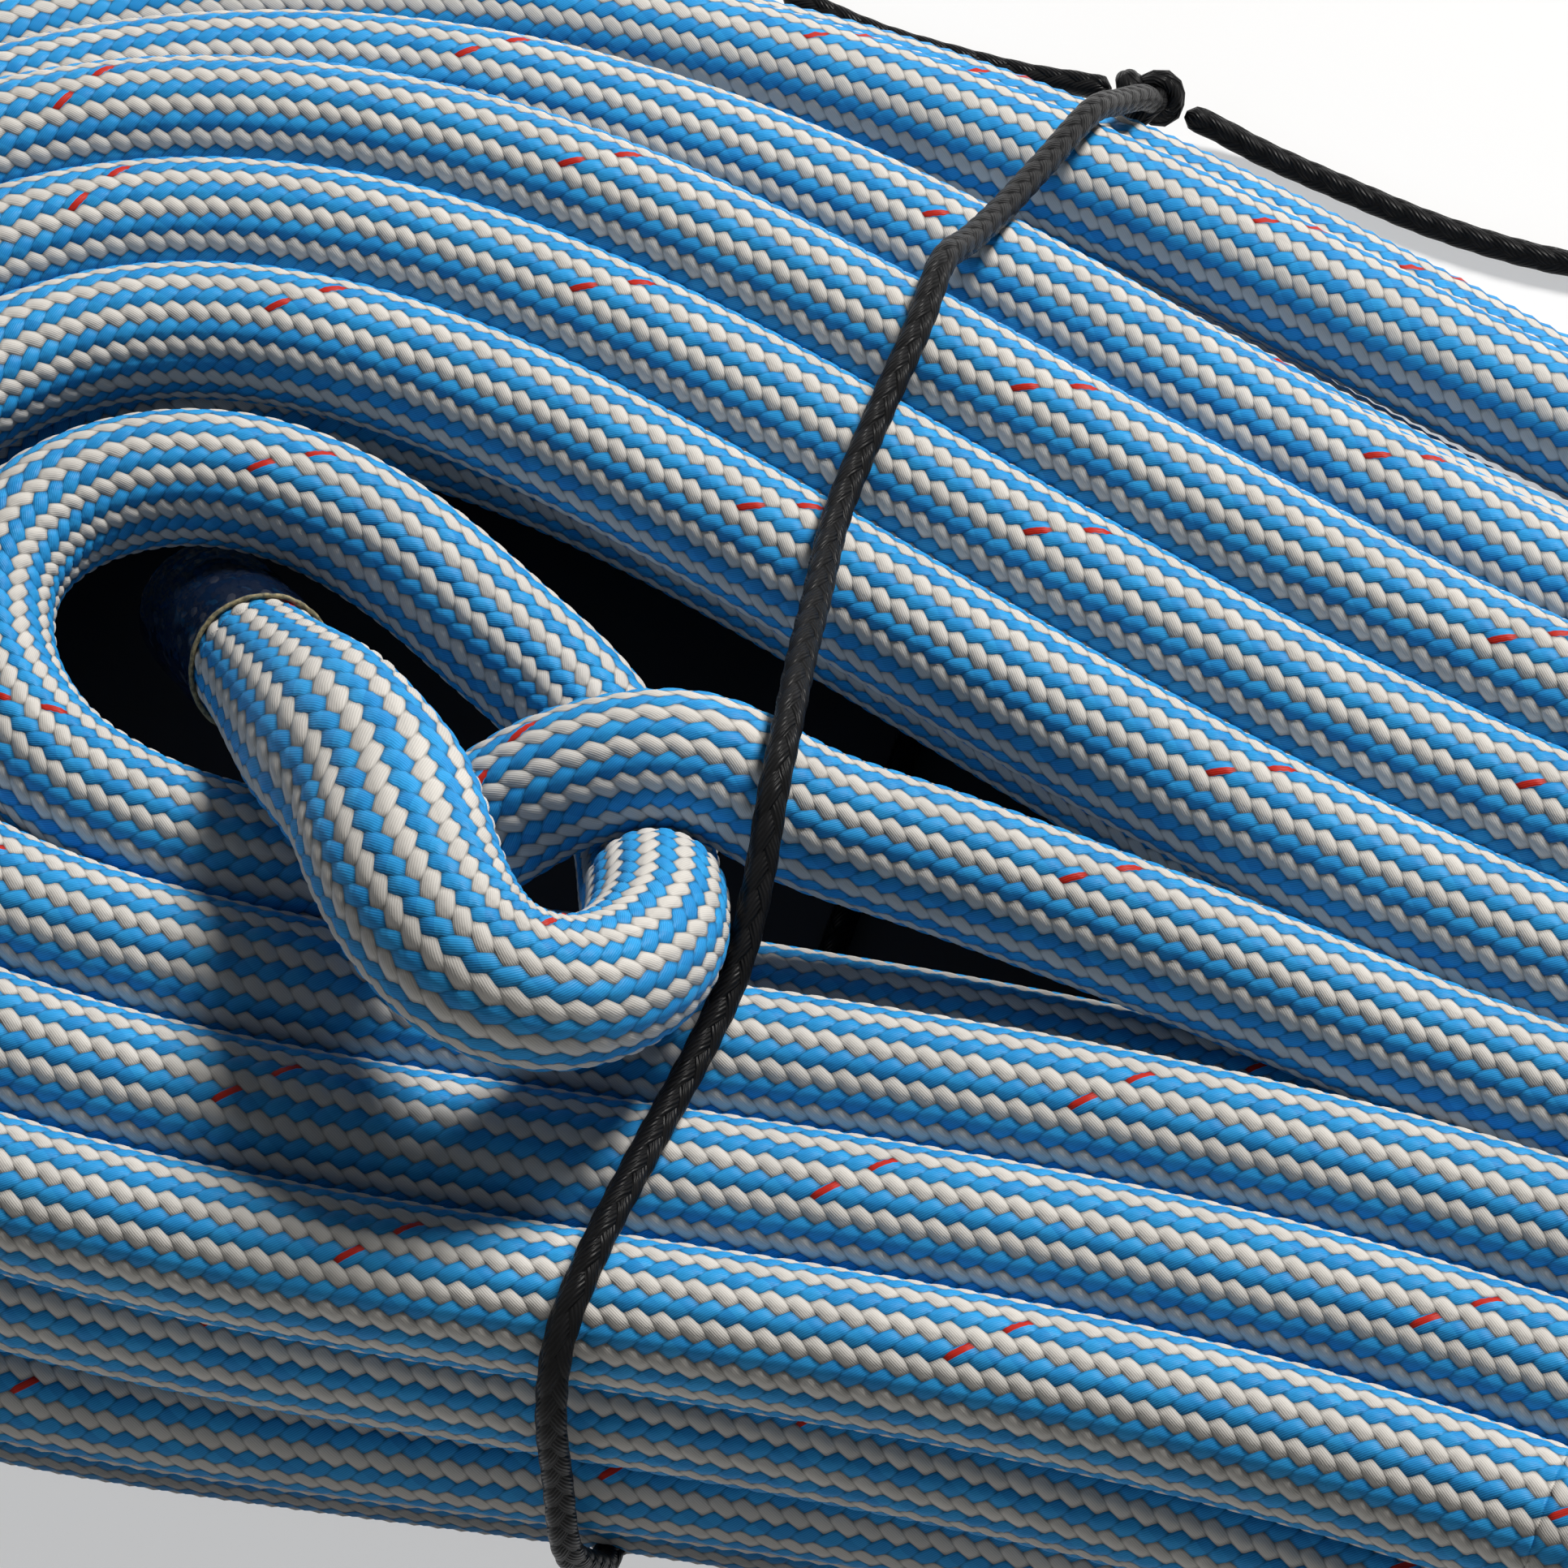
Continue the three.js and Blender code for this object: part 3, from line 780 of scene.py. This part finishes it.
def filament_lines(shade, weave, per_strand):
    """Fine parallel filaments along each strand, a little uneven."""
    wobble = shade.noise(900.0, 1.0)
    turn = shade.math("MULTIPLY", weave["side"], 2 * math.pi * per_strand)
    turn = shade.math("MULTIPLY_ADD", weave["other"], 1.3, turn)
    turn = shade.math("MULTIPLY_ADD", wobble, 3.5, turn)
    return shade.math("MULTIPLY_ADD", shade.math("SINE", turn), 0.5, 0.5)


def float_tone(shade, weave):
    """An even random number for each float of the braid."""
    along = shade.math("ADD", weave["strand"], weave["other"])
    number = shade.math("FLOOR", shade.math("MULTIPLY_ADD", along, 0.25, 0.4))
    place = shade.fed("ShaderNodeCombineXYZ", weave["strand"], number)
    return shade.fed("ShaderNodeTexWhiteNoise", place, noise_dimensions="2D")


def sheath_material(shade, tones):
    """Woven nylon: white and blue strands, a red tracer yarn, silky filaments, painted gap shade.
    """
    weave = weave_shade(shade)
    filament = filament_lines(shade, weave, SHEATH_FILAMENTS)
    share = shade.math("MULTIPLY_ADD", float_tone(shade, weave), 0.35, 0.2)
    share = shade.math("MULTIPLY_ADD", filament, 0.45, share)
    # Painted shade: each yarn mixes with a shaded copy along its filaments and per float.
    blue = shade.mix(share, colour(tones.blue_shaded), colour(tones.blue))
    white = shade.mix(share, colour(tones.white_shaded), colour(tones.white))
    yarn = shade.mix(weave["blue"], white, blue)
    strand = shade.math("FLOORED_MODULO", weave["blue_strand"], float(TRACER_EVERY))
    shown = shade.math("FLOORED_MODULO", weave["blue_float"], float(TRACER_FLOATS))
    place = shade.math("ABSOLUTE", shade.math("SUBTRACT", weave["blue_place"], TRACER_PLACE))
    tracer = weave["blue"]
    for value, limit in ((strand, 0.5), (shown, 1.5), (place, TRACER_HALF_WIDTH)):
        tracer = shade.math("MULTIPLY", tracer, shade.math("LESS_THAN", value, limit))
    yarn = shade.mix(tracer, yarn, colour(tones.tracer))
    dust = shade.spread(shade.noise(60.0, 4.0), 0.35, 0.7, 0.94, 1.02)
    # Painted shade: darker where the relief is low, in the gaps; times a real dusty tone.
    light = shade.math("MULTIPLY", shade.spread(weave["height"], *SHEATH_GAP_SHADE), dust)
    relief = shade.math("MULTIPLY", weave["height"], 0.8)
    relief = shade.math("MULTIPLY_ADD", filament, 0.015, relief)
    return shade.finish(
        Base_Color=shade.darken(yarn, light),
        Roughness=shade.spread(weave["blue"], 0.0, 1.0, 0.52, 0.44),
        Normal=shade.bump(relief, 0.001, 0.7),
        Specular_IOR_Level=0.14,
        Sheen_Weight=0.03,
        Sheen_Roughness=0.4,
    )


def tie_material(shade, tones):
    """Thin black braid with glossy filaments."""
    weave = weave_shade(shade)
    filament = filament_lines(shade, weave, TIE_FILAMENTS)
    share = shade.math("MULTIPLY", float_tone(shade, weave), 0.4)
    share = shade.math("MULTIPLY_ADD", filament, 0.6, share)
    # Painted shade: the black yarn mixes with a darker shaded copy along its filaments and per
    # float.
    yarn = shade.mix(share, colour(tones.tie_shaded), colour(tones.tie))
    relief = shade.math("MULTIPLY_ADD", filament, 0.06, weave["height"])
    # Painted shade: the tie's colour darkens where its relief is low, in the gaps.
    return shade.finish(
        Base_Color=shade.darken(yarn, shade.spread(weave["height"], *TIE_GAP_SHADE)),
        Roughness=shade.spread(filament, 0.0, 1.0, 0.38, 0.28),
        Normal=shade.bump(relief, 0.0008, 0.9),
        Specular_IOR_Level=0.08,
    )


def core_material(shade, tones):
    """Twisted white nylon core strand."""
    column, row = shade.column_and_row()
    turn = shade.math("MULTIPLY_ADD", row, 0.9, column)
    wave = shade.math("SINE", shade.math("MULTIPLY", turn, 2 * math.pi))
    share = shade.math("MULTIPLY_ADD", wave, 0.5, 0.5)
    # Painted shade: the twist's grooves take the shaded copy of the white yarn.
    yarn = shade.mix(share, colour(tones.white_shaded), colour(tones.white))
    return shade.finish(
        Base_Color=yarn,
        Roughness=shade.spread(shade.noise(400.0), 0.3, 0.7, 0.45, 0.65),
        Normal=shade.bump(share, 0.0001, 0.6),
        Sheen_Weight=0.1,
    )


def tip_material(shade, tones):
    """Fused nylon: cloudy, yellowed in places, lumpy."""
    cloud = shade.noise(700.0, 4.0)
    share = shade.spread(cloud, 0.3, 0.7, 0.0, 1.0)
    stain = shade.mix(share, colour(tones.tip), colour(tones.tip_deep))
    return shade.finish(
        Base_Color=stain,
        Roughness=shade.spread(cloud, 0.3, 0.7, 0.3, 0.6),
        Normal=shade.bump(shade.noise(1500.0, 3.0), 0.0002, 0.6),
        Subsurface_Weight=0.15,
        Subsurface_Radius=(0.001, 0.0008, 0.0005),
    )


def sleeve_material(shade, tones):
    """Thin shrunk film, glossy, with faint wrinkles; its dark tint is painted shade."""
    wrinkle = shade.noise(350.0, 2.0)
    return shade.finish(
        Base_Color=colour(tones.sleeve),
        Roughness=shade.spread(wrinkle, 0.3, 0.7, 0.03, 0.12),
        Normal=shade.bump(wrinkle, 0.0001, 0.5),
        Alpha=0.8,
        IOR=1.35,
    )


def lip_material(shade, tones):
    """The film's cut edge, yellowed and dull."""
    fuzz = shade.noise(2500.0, 2.0)
    share = shade.spread(fuzz, 0.35, 0.65, 0.0, 1.0)
    tint = shade.mix(share, colour(LIP_DARK), colour(tones.tip_deep))
    return shade.finish(Base_Color=tint, Roughness=shade.spread(fuzz, 0.3, 0.7, 0.6, 0.8))


# ---- Pieces ----


def settle(piece, slot, *nodes):
    """Puts a finished piece on the body in place of its CAD nodes."""
    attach(piece, BODY)
    if nodes:
        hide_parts(*nodes)
    return piece


def mesh_piece(name, shape, material):
    """A bmesh as a piece, normals made right."""
    bmesh.ops.recalc_face_normals(shape, faces=shape.faces)
    mesh = bpy.data.meshes.new(name)
    shape.to_mesh(mesh)
    shape.free()
    mesh.polygons.foreach_set("use_smooth", np.ones(len(mesh.polygons), bool))
    return linked(name, mesh, material)


def spun(profile, steps, closed):
    """A bmesh spun about Z from a profile of (radius, height)."""
    shape = bmesh.new()
    verts = [shape.verts.new((radius, 0.0, height)) for radius, height in profile]
    pairs = list(zip(verts, verts[1:]))
    if closed:
        pairs.append((verts[-1], verts[0]))
    edges = [shape.edges.new(pair) for pair in pairs]
    bmesh.ops.spin(
        shape, geom=verts + edges, cent=(0, 0, 0), axis=(0, 0, 1), angle=2 * math.pi,
        steps=steps, use_merge=True,
    )
    bmesh.ops.remove_doubles(shape, verts=shape.verts, dist=1e-6)
    return shape


def fused_tip(name, place, material):
    """The melted end: a domed disc with a lumpy rim."""
    radius = CORD_DIAMETER / 2
    low = END_LENGTH - TIP_THICKNESS
    profile = [(radius * share, low + rise) for share, rise in TIP_OUTLINE]
    shape = spun(profile, TIP_STEPS, False)
    for vert in shape.verts:
        angle = math.atan2(vert.co.y, vert.co.x)
        lump = sum(size * math.sin(count * angle + turn) for count, turn, size in TIP_LUMPS)
        share = min(1.0, math.hypot(vert.co.x, vert.co.y) / radius)
        vert.co.x *= 1 + LUMP_SIZE * lump * share
        vert.co.y *= 1 + LUMP_SIZE * lump * share
    bmesh.ops.transform(shape, matrix=place, verts=shape.verts)
    return mesh_piece(name, shape, material)


def clear_sleeve(name, place, material, lip_look):
    """The shrunk sleeve: a thin wall with rounded lips that shows the weave under it."""
    inner = CORD_DIAMETER / 2 + FACE_GAP
    outer = inner + SLEEVE_WALL
    top = END_LENGTH - SLEEVE_SETBACK
    bottom = top - SLEEVE_LENGTH
    lip = SLEEVE_WALL / 2
    straight = SLEEVE_LENGTH - 2 * lip
    heights = [bottom + lip + straight * k / SLEEVE_STEPS for k in range(SLEEVE_STEPS + 1)]
    profile = [(outer, z) for z in heights] + [(inner + lip, top)]
    profile += [(inner, z) for z in reversed(heights)] + [(inner + lip, bottom)]
    shape = spun(profile, SLEEVE_SIDES, True)
    for vert in shape.verts:
        radius = math.hypot(vert.co.x, vert.co.y)
        column = (math.atan2(vert.co.y, vert.co.x) / (2 * math.pi) % 1) * ROPE_CARRIERS
        row = vert.co.z / SLEEVE_ROW
        relief = float(weave_height(np.array([column]), np.array([row]))[0])
        wave = SLEEVE_WRINKLE * math.sin(vert.co.z * 900 + 2 * math.sin(column / 3))
        grow = 1 + (SLEEVE_RELIEF * relief + wave) / radius
        vert.co.x *= grow
        vert.co.y *= grow
    for face in shape.faces:
        face.material_index = int(face.calc_center_median().z < bottom + lip)
    bmesh.ops.transform(shape, matrix=place, verts=shape.verts)
    piece = mesh_piece(name, shape, material)
    piece.data.materials.append(lip_look)
    return piece


def core_strand(name, place, centre, length, material):
    """One core strand: three yarns laid together with a twist."""
    heights = np.linspace(FACE_GAP * 2, length, STRAND_RINGS)
    angle = 2 * math.pi * np.arange(STRAND_SIDES) / STRAND_SIDES
    twist = heights * 2 * math.pi / STRAND_LAY
    bulge = np.abs(np.cos(STRAND_YARNS / 2 * (angle[None, :] - twist[:, None])))
    radius = STRAND_DIAMETER / 2 * (1 - YARN_BULGE + YARN_BULGE * bulge)
    x = centre[0] + radius * np.cos(angle)
    y = centre[1] + radius * np.sin(angle)
    z = np.broadcast_to(heights[:, None], x.shape)
    matrix = np.array(place)
    points = np.stack([x, y, z], axis=2) @ matrix[:3, :3].T + matrix[:3, 3]
    columns = np.arange(STRAND_SIDES) * STRAND_YARNS / STRAND_SIDES
    rows = heights / (STRAND_LAY / STRAND_YARNS)
    return linked(name, tube_mesh(name, points, columns, rows), material)


def rope_end(name, line, looks):
    """Sheath, core strands, fused tip and clear sleeve of one cut end. Returns them."""
    first = line[name]
    last, outward = (line["run"][-1], 1.0) if name == "lead_end" else (0.0, -1.0)
    centre = at(line, "point", np.array([first]))[0]
    direction = at(line, "along", np.array([(first + last) / 2]))[0] * outward
    place = Matrix.Translation(centre)
    place = place @ Vector((0, 0, 1)).rotation_difference(Vector(direction)).to_matrix().to_4x4()
    length = END_LENGTH - TIP_THICKNESS - FACE_GAP
    near = first + outward * FACE_GAP
    far = first + outward * length
    sheath = woven_tube(
        name + "_woven_sheath", line, min(near, far), max(near, far), "finest", looks["sheath"],
        wall=SHEATH_WALL,
    )
    pieces = [settle(sheath, "rope_sheath", name + "_sheath")]
    number = 0
    for count, ring in ((INNER_STRANDS, INNER_STRAND_RING), (OUTER_STRANDS, OUTER_STRAND_RING)):
        for i in range(count):
            number += 1
            angle = 2 * math.pi * i / count
            where = (ring * math.cos(angle), ring * math.sin(angle))
            strand = core_strand(f"{name}_strand_{number}", place, where, length, looks["core"])
            pieces.append(settle(strand, "rope_core", f"{name}_core_{number}"))
    tip = fused_tip(name + "_fused_tip", place, looks["tip"])
    pieces.append(settle(tip, "fused_tip", name + "_tip"))
    sleeve = clear_sleeve(name + "_clear_sleeve", place, looks["sleeve"], looks["lip"])
    pieces.append(settle(sleeve, "clear_sleeve", name + "_sleeve"))
    return pieces


def trefoil_knot(name, material, sizes):
    """The tie's small knot: one cord that passes through itself."""
    turns = np.linspace(0, 2 * math.pi, 241)
    points = np.column_stack([
        (np.sin(turns) + 2 * np.sin(2 * turns)) * KNOT_REACH,
        (np.cos(turns) - 2 * np.cos(2 * turns)) * KNOT_REACH,
        -np.sin(3 * turns) * KNOT_DEPTH,
    ])
    points = points + np.array(KNOT_CENTRE) + SHIFT
    line = make_line(points, 2 * sizes.tie_radius, TIE_CARRIERS, sizes.tie_row, KNOT_SOFTNESS)
    return woven_tube(name, line, 0.0, line["run"][-1], "finest", material)


FINISHES = {
    "sheath": ("Woven sheath", sheath_material), "tie": ("Black braid", tie_material),
    "core": ("Twisted core", core_material), "tip": ("Fused tip", tip_material),
    "sleeve": ("Clear sleeve", sleeve_material), "lip": ("Sleeve lip", lip_material),
}


def rope_looks(context):
    """The finishes that the pieces share, made once."""
    looks = {}
    for key, (name, make) in FINISHES.items():
        if name not in bpy.data.materials:
            make(Shade(bpy.data.materials.new(name)), context.scene.rope_tones)
        looks[key] = bpy.data.materials[name]
    return looks


LINES = {}


def rope_line(context):
    if "rope" not in LINES:
        LINES["rope"] = build_rope_line(context.scene.rope_sizes)
    return LINES["rope"]


def tie_lines(context):
    """The tie and its two loose ends."""
    if "tie" not in LINES:
        sizes = context.scene.rope_sizes
        for key, route in (("tie", TIE_ROUTE), ("short", TIE_SHORT_END), ("long", TIE_LONG_END)):
            LINES[key] = make_line(
                through(route) + SHIFT, 2 * sizes.tie_radius, TIE_CARRIERS, sizes.tie_row,
                TIE_SOFTNESS,
            )
    return LINES["tie"], LINES["short"], LINES["long"]


def tie_threads(context):
    """Where the tie and its knot press on the rope, and how near they let it come."""
    tie = tie_lines(context)[0]
    knot = np.array([np.array(KNOT_CENTRE) + SHIFT])
    return [(tie["point"], TIE_DIAMETER / 2 + TIE_CLEARANCE), (knot, KNOT_CLEARANCE)]


# Columns of each layer that show, counted from the inside, and the layers that show up close.
SHOWN_COLUMNS = {0: (2, 3), 1: (2, 3), 2: (0, 1, 2, 3), 3: (0, 1, 2)}
FINE_LAYERS = (2, 3)


def length_size(name, description, default, least, most):
    return FloatProperty(
        name=name, description=description, default=default, min=least, max=most,
        subtype="DISTANCE", unit="LENGTH",
    )


def factor(name, description, default, least, most):
    return FloatProperty(
        name=name, description=description, default=default, min=least, max=most,
    )


class RopeSizes(bpy.types.PropertyGroup):
    rope_radius: length_size(
        "Rope radius", "Radius of the sheath under its relief", 0.0051, 0.004, 0.006,
    )
    side_press: factor(
        "Side press", "How much wider the cord lies where it is pressed in the coil",
        1.06, 1.0, 1.12,
    )
    weave_row: length_size(
        "Weave row", "Half the distance between floats of the sheath", 0.0009, 0.0006, 0.0014,
    )
    tie_radius: length_size(
        "Tie radius", "Radius of the tie under its relief", 0.00104, 0.0008, 0.0013,
    )
    tie_row: length_size(
        "Tie weave row", "Half the distance between floats of the tie", 0.0014, 0.0005, 0.002,
    )
    tail_length: length_size(
        "Tail length", "Length of the slack tail up to its clear sleeve", 0.062, 0.03, 0.09,
    )
    tail_width: factor(
        "Tail width", "How much wider the slack sheath of the tail lies", 1.32, 1.0, 1.5,
    )
    tail_float: factor(
        "Tail float", "How much longer the floats of the tail are", 1.6, 1.0, 2.0,
    )


def tone(name, description, default):
    return FloatVectorProperty(
        name=name, description=description, default=default, min=0.0, max=1.0, subtype="COLOR",
    )


class RopeTones(bpy.types.PropertyGroup):
    blue: tone("Blue yarn", "Blue strands in the light", (0.045, 0.44, 0.9))
    # Painted shade: the deep tones are darker copies of the yarn colours, as yarn in shadow.
    blue_shaded: tone("Blue yarn, deep", "Blue strands between filaments", (0.008, 0.18, 0.55))
    white: tone("White yarn", "White strands in the light", (0.79, 0.755, 0.705))
    white_shaded: tone("White yarn, deep", "White strands between filaments", (0.55, 0.53, 0.5))
    tracer: tone("Tracer yarn", "The one red yarn", (0.56, 0.025, 0.014))
    tie: tone("Tie yarn", "Black yarn of the tie in the light", (0.009, 0.009, 0.01))
    # Painted shade: a darker copy of the black yarn, as yarn in shadow.
    tie_shaded: tone("Tie yarn, deep", "Black yarn between filaments", (0.002, 0.002, 0.002))
    tip: tone("Fused tip", "Melted nylon of the cut ends", (0.62, 0.55, 0.33))
    tip_deep: tone("Fused tip, deep", "Stained places of the melted nylon", (0.36, 0.3, 0.16))
    # Painted shade: the clear film's dark navy tint stands in for the deep shade it lies in.
    sleeve: tone("Sleeve film", "Dark tint of the sleeve's film", (0.006, 0.014, 0.04))
    floor: tone("Floor", "Colour of the floor", (0.9, 0.9, 0.9))
    # Painted shade: near-black floor where the coil's loops close in.
    under: tone("Under the coil", "Floor between the coil's loops", (0.012, 0.014, 0.02))


class ClimbingRopeStage(bpy.types.Operator):
    """Set the camera, the lamps, the world and the pale floor"""

    bl_idname = "climbing_rope.stage"
    bl_label = "Stage"

    def execute(self, context):
        scene = context.scene
        scene.view_settings.view_transform = "Standard"
        right, up, back = (Vector(axis) for axis in camera_axes())
        lens = bpy.data.cameras.new("camera")
        lens.sensor_width = SENSOR_WIDTH
        lens.lens = CAMERA_LENS
        lens.clip_start, lens.clip_end = CLIP
        lens.dof.use_dof = False
        camera = bpy.data.objects.new("camera", lens)
        camera.location = Vector(CAMERA_TARGET) + back * CAMERA_DISTANCE
        camera.rotation_mode = "QUATERNION"
        camera.rotation_quaternion = Matrix((right, up, back)).transposed().to_quaternion()
        scene.collection.objects.link(camera)
        scene.camera = camera
        self.lamp(context, "key_lamp", *KEY_LAMP)
        self.lamp(context, "fill_lamp", *FILL_LAMP)
        self.world(scene)
        self.floor(context)
        return {"FINISHED"}

    def lamp(self, context, name, where, size, power, tint):
        data = bpy.data.lights.new(name, "AREA")
        data.shape = "DISK"
        data.size = size
        data.energy = power
        data.color = tint
        lamp = bpy.data.objects.new(name, data)
        lamp.location = Vector(where) + Vector(CAMERA_TARGET)
        aim = Vector(CAMERA_TARGET) - lamp.location
        lamp.rotation_euler = aim.to_track_quat("-Z", "Y").to_euler()
        context.scene.collection.objects.link(lamp)

    def world(self, scene):
        shade = Shade(bpy.data.worlds.new("studio"))
        lights = [shade.fed("ShaderNodeBackground", *light) for light in (SOFT_LIGHT, BACKDROP)]
        light = shade.fed("ShaderNodeMixShader", shade.backdrop_rays(), *lights)
        scene.world = shade.output(light, "ShaderNodeOutputWorld")

    def floor(self, context):
        shape = bmesh.new()
        bmesh.ops.create_grid(shape, x_segments=2, y_segments=2, size=FLOOR_SIZE)
        bmesh.ops.translate(shape, verts=shape.verts, vec=(0, 0, -FLOOR_DROP))
        shade = Shade(bpy.data.materials.new("Pale floor"))
        tones = context.scene.rope_tones
        speck = shade.spread(shade.noise(25.0), 0.3, 0.7, 0.97, 1.0)
        tint = shade.mix(speck, colour(FLOOR_SPECK), colour(tones.floor))
        # Painted shade: the floor turns near black inside the coil's outline, for the shade there.
        outside = self.outside(shade)
        tint = shade.mix(outside, colour(tones.under), tint)
        share = shade.spread(self.far_off(shade), 0.0, 1.0, *FLOOR_GLOW)
        share = shade.math("MULTIPLY", outside, share)
        share = shade.math("MULTIPLY", share, shade.backdrop_rays())
        surface = shade.surface(Base_Color=tint, Roughness=0.85)
        look = shade.fed("ShaderNodeMixShader", share, surface, shade.fed("ShaderNodeEmission"))
        mesh = bpy.data.meshes.new("floor")
        shape.to_mesh(mesh)
        shape.free()
        floor = linked("floor", mesh, shade.output(look))

    def outside(self, shade):
        """1 on the open floor, 0 in the painted shade between the coil's loops."""
        reach = []
        for along, half in zip(shade.split(shade.place()), PAINTED_SHADE_FLOOR):
            share = shade.math("ABSOLUTE", shade.math("DIVIDE", along, half))
            reach.append(shade.math("POWER", share, PAINTED_SHADE_POWER))
        return shade.spread(shade.math("ADD", *reach), *PAINTED_SHADE_EDGE, 0.0, 1.0)

    def far_off(self, shade):
        """0 round the coil, 1 where the floor is only background."""
        away = shade.add("ShaderNodeVectorMath", operation="LENGTH")
        shade.put(away.inputs[0], shade.place())
        return shade.spread(away.outputs["Value"], *FLOOR_FADE, 0.0, 1.0)


class ClimbingRopeCoil(bpy.types.Operator):
    """Build the wound coil, one woven piece for each half loop"""

    bl_idname = "climbing_rope.coil"
    bl_label = "Coil"

    def execute(self, context):
        line = rope_line(context)
        looks = rope_looks(context)
        threads = tie_threads(context)
        bounds = [*line["marks"].items(), (None, line["coil_top"])]
        for ((layer, half), start), (_, stop) in zip(bounds, bounds[1:]):
            loops = LAYERS[layer][0]
            column = half // 2 if layer % 2 == 0 else loops - 1 - half // 2
            shown = column in SHOWN_COLUMNS[layer]
            left = half % 2 == 0
            detail = "hidden"
            if shown:
                detail = "fine" if left and layer in FINE_LAYERS else "plain"
            name = f"coil_layer_{layer + 1}_loop_{half // 2 + 1}_{'left' if left else 'right'}"
            piece = woven_tube(name, line, start, stop, detail, looks["sheath"], threads)
            settle(piece, "rope_sheath", "rope_coil")
        return {"FINISHED"}


class ClimbingRopeLead(bpy.types.Operator):
    """Build the top end: the small bight, the slack tail and the cut end with its clear sleeve"""

    bl_idname = "climbing_rope.lead"
    bl_label = "Lead and tail"

    def execute(self, context):
        line = rope_line(context)
        looks = rope_looks(context)
        threads = tie_threads(context)
        end_pieces = rope_end("lead_end", line, looks)
        start, stop = line["coil_top"], line["lead_end"]
        piece = woven_tube("rope_lead_run", line, start, stop, "finest", looks["sheath"], threads)
        settle(piece, "rope_sheath", "rope_lead")
        return {"FINISHED"}


class ClimbingRopeStart(bpy.types.Operator):
    """Build the bottom end on the floor in the right-hand bight, with its cut end"""

    bl_idname = "climbing_rope.start"
    bl_label = "Start"

    def execute(self, context):
        line = rope_line(context)
        looks = rope_looks(context)
        end_pieces = rope_end("start_end", line, looks)
        start, stop = line["start_end"], line["coil_bottom"]
        piece = woven_tube("rope_start_run", line, start, stop, "plain", looks["sheath"])
        settle(piece, "rope_sheath", "rope_start")
        return {"FINISHED"}


class ClimbingRopeTie(bpy.types.Operator):
    """Build the thin black tie, its knot and its two loose ends"""

    bl_idname = "climbing_rope.tie"
    bl_label = "Tie"

    def execute(self, context):
        looks = rope_looks(context)
        sizes = context.scene.rope_sizes
        knot = trefoil_knot("tie_small_knot", looks["tie"], sizes)
        settle(knot, "tie_cord", "tie_knot")
        names = ("tie_round_coil", "tie_loose_short", "tie_loose_long")
        nodes = ("tie_cord", "tie_short_end", "tie_long_end")
        for name, node, line in zip(names, nodes, tie_lines(context)):
            last = line["run"][-1]
            loose = node != "tie_cord"
            piece = woven_tube(name, line, 0.0, last, "finest", looks["tie"], round_ends=loose)
            settle(piece, "tie_cord", node)
        return {"FINISHED"}


class ClimbingRopePanel(bpy.types.Panel):
    bl_idname = "VIEW3D_PT_climbing_rope"
    bl_label = "Climbing rope"
    bl_space_type = "VIEW_3D"
    bl_region_type = "UI"
    bl_category = "Rope"

    def draw(self, context):
        layout = self.layout
        for group in (context.scene.rope_sizes, context.scene.rope_tones):
            box = layout.box()
            for key in group.bl_rna.properties.keys():
                if key not in ("rna_type", "name"):
                    box.prop(group, key)
        for step in STEPS:
            layout.operator(step.bl_idname)


STEPS = (
    ClimbingRopeStage, ClimbingRopeCoil, ClimbingRopeLead, ClimbingRopeStart, ClimbingRopeTie,
)
CLASSES = (RopeSizes, RopeTones, *STEPS, ClimbingRopePanel)


def register():
    for cls in CLASSES:
        bpy.utils.register_class(cls)
    bpy.types.Scene.rope_sizes = PointerProperty(type=RopeSizes)
    bpy.types.Scene.rope_tones = PointerProperty(type=RopeTones)


def unregister():
    del bpy.types.Scene.rope_tones
    del bpy.types.Scene.rope_sizes
    for cls in reversed(CLASSES):
        bpy.utils.unregister_class(cls)


def main():
    register()
    bpy.ops.climbing_rope.stage()
    bpy.ops.climbing_rope.coil()
    bpy.ops.climbing_rope.lead()
    bpy.ops.climbing_rope.start()
    bpy.ops.climbing_rope.tie()


if __name__ == "__main__":
    main()
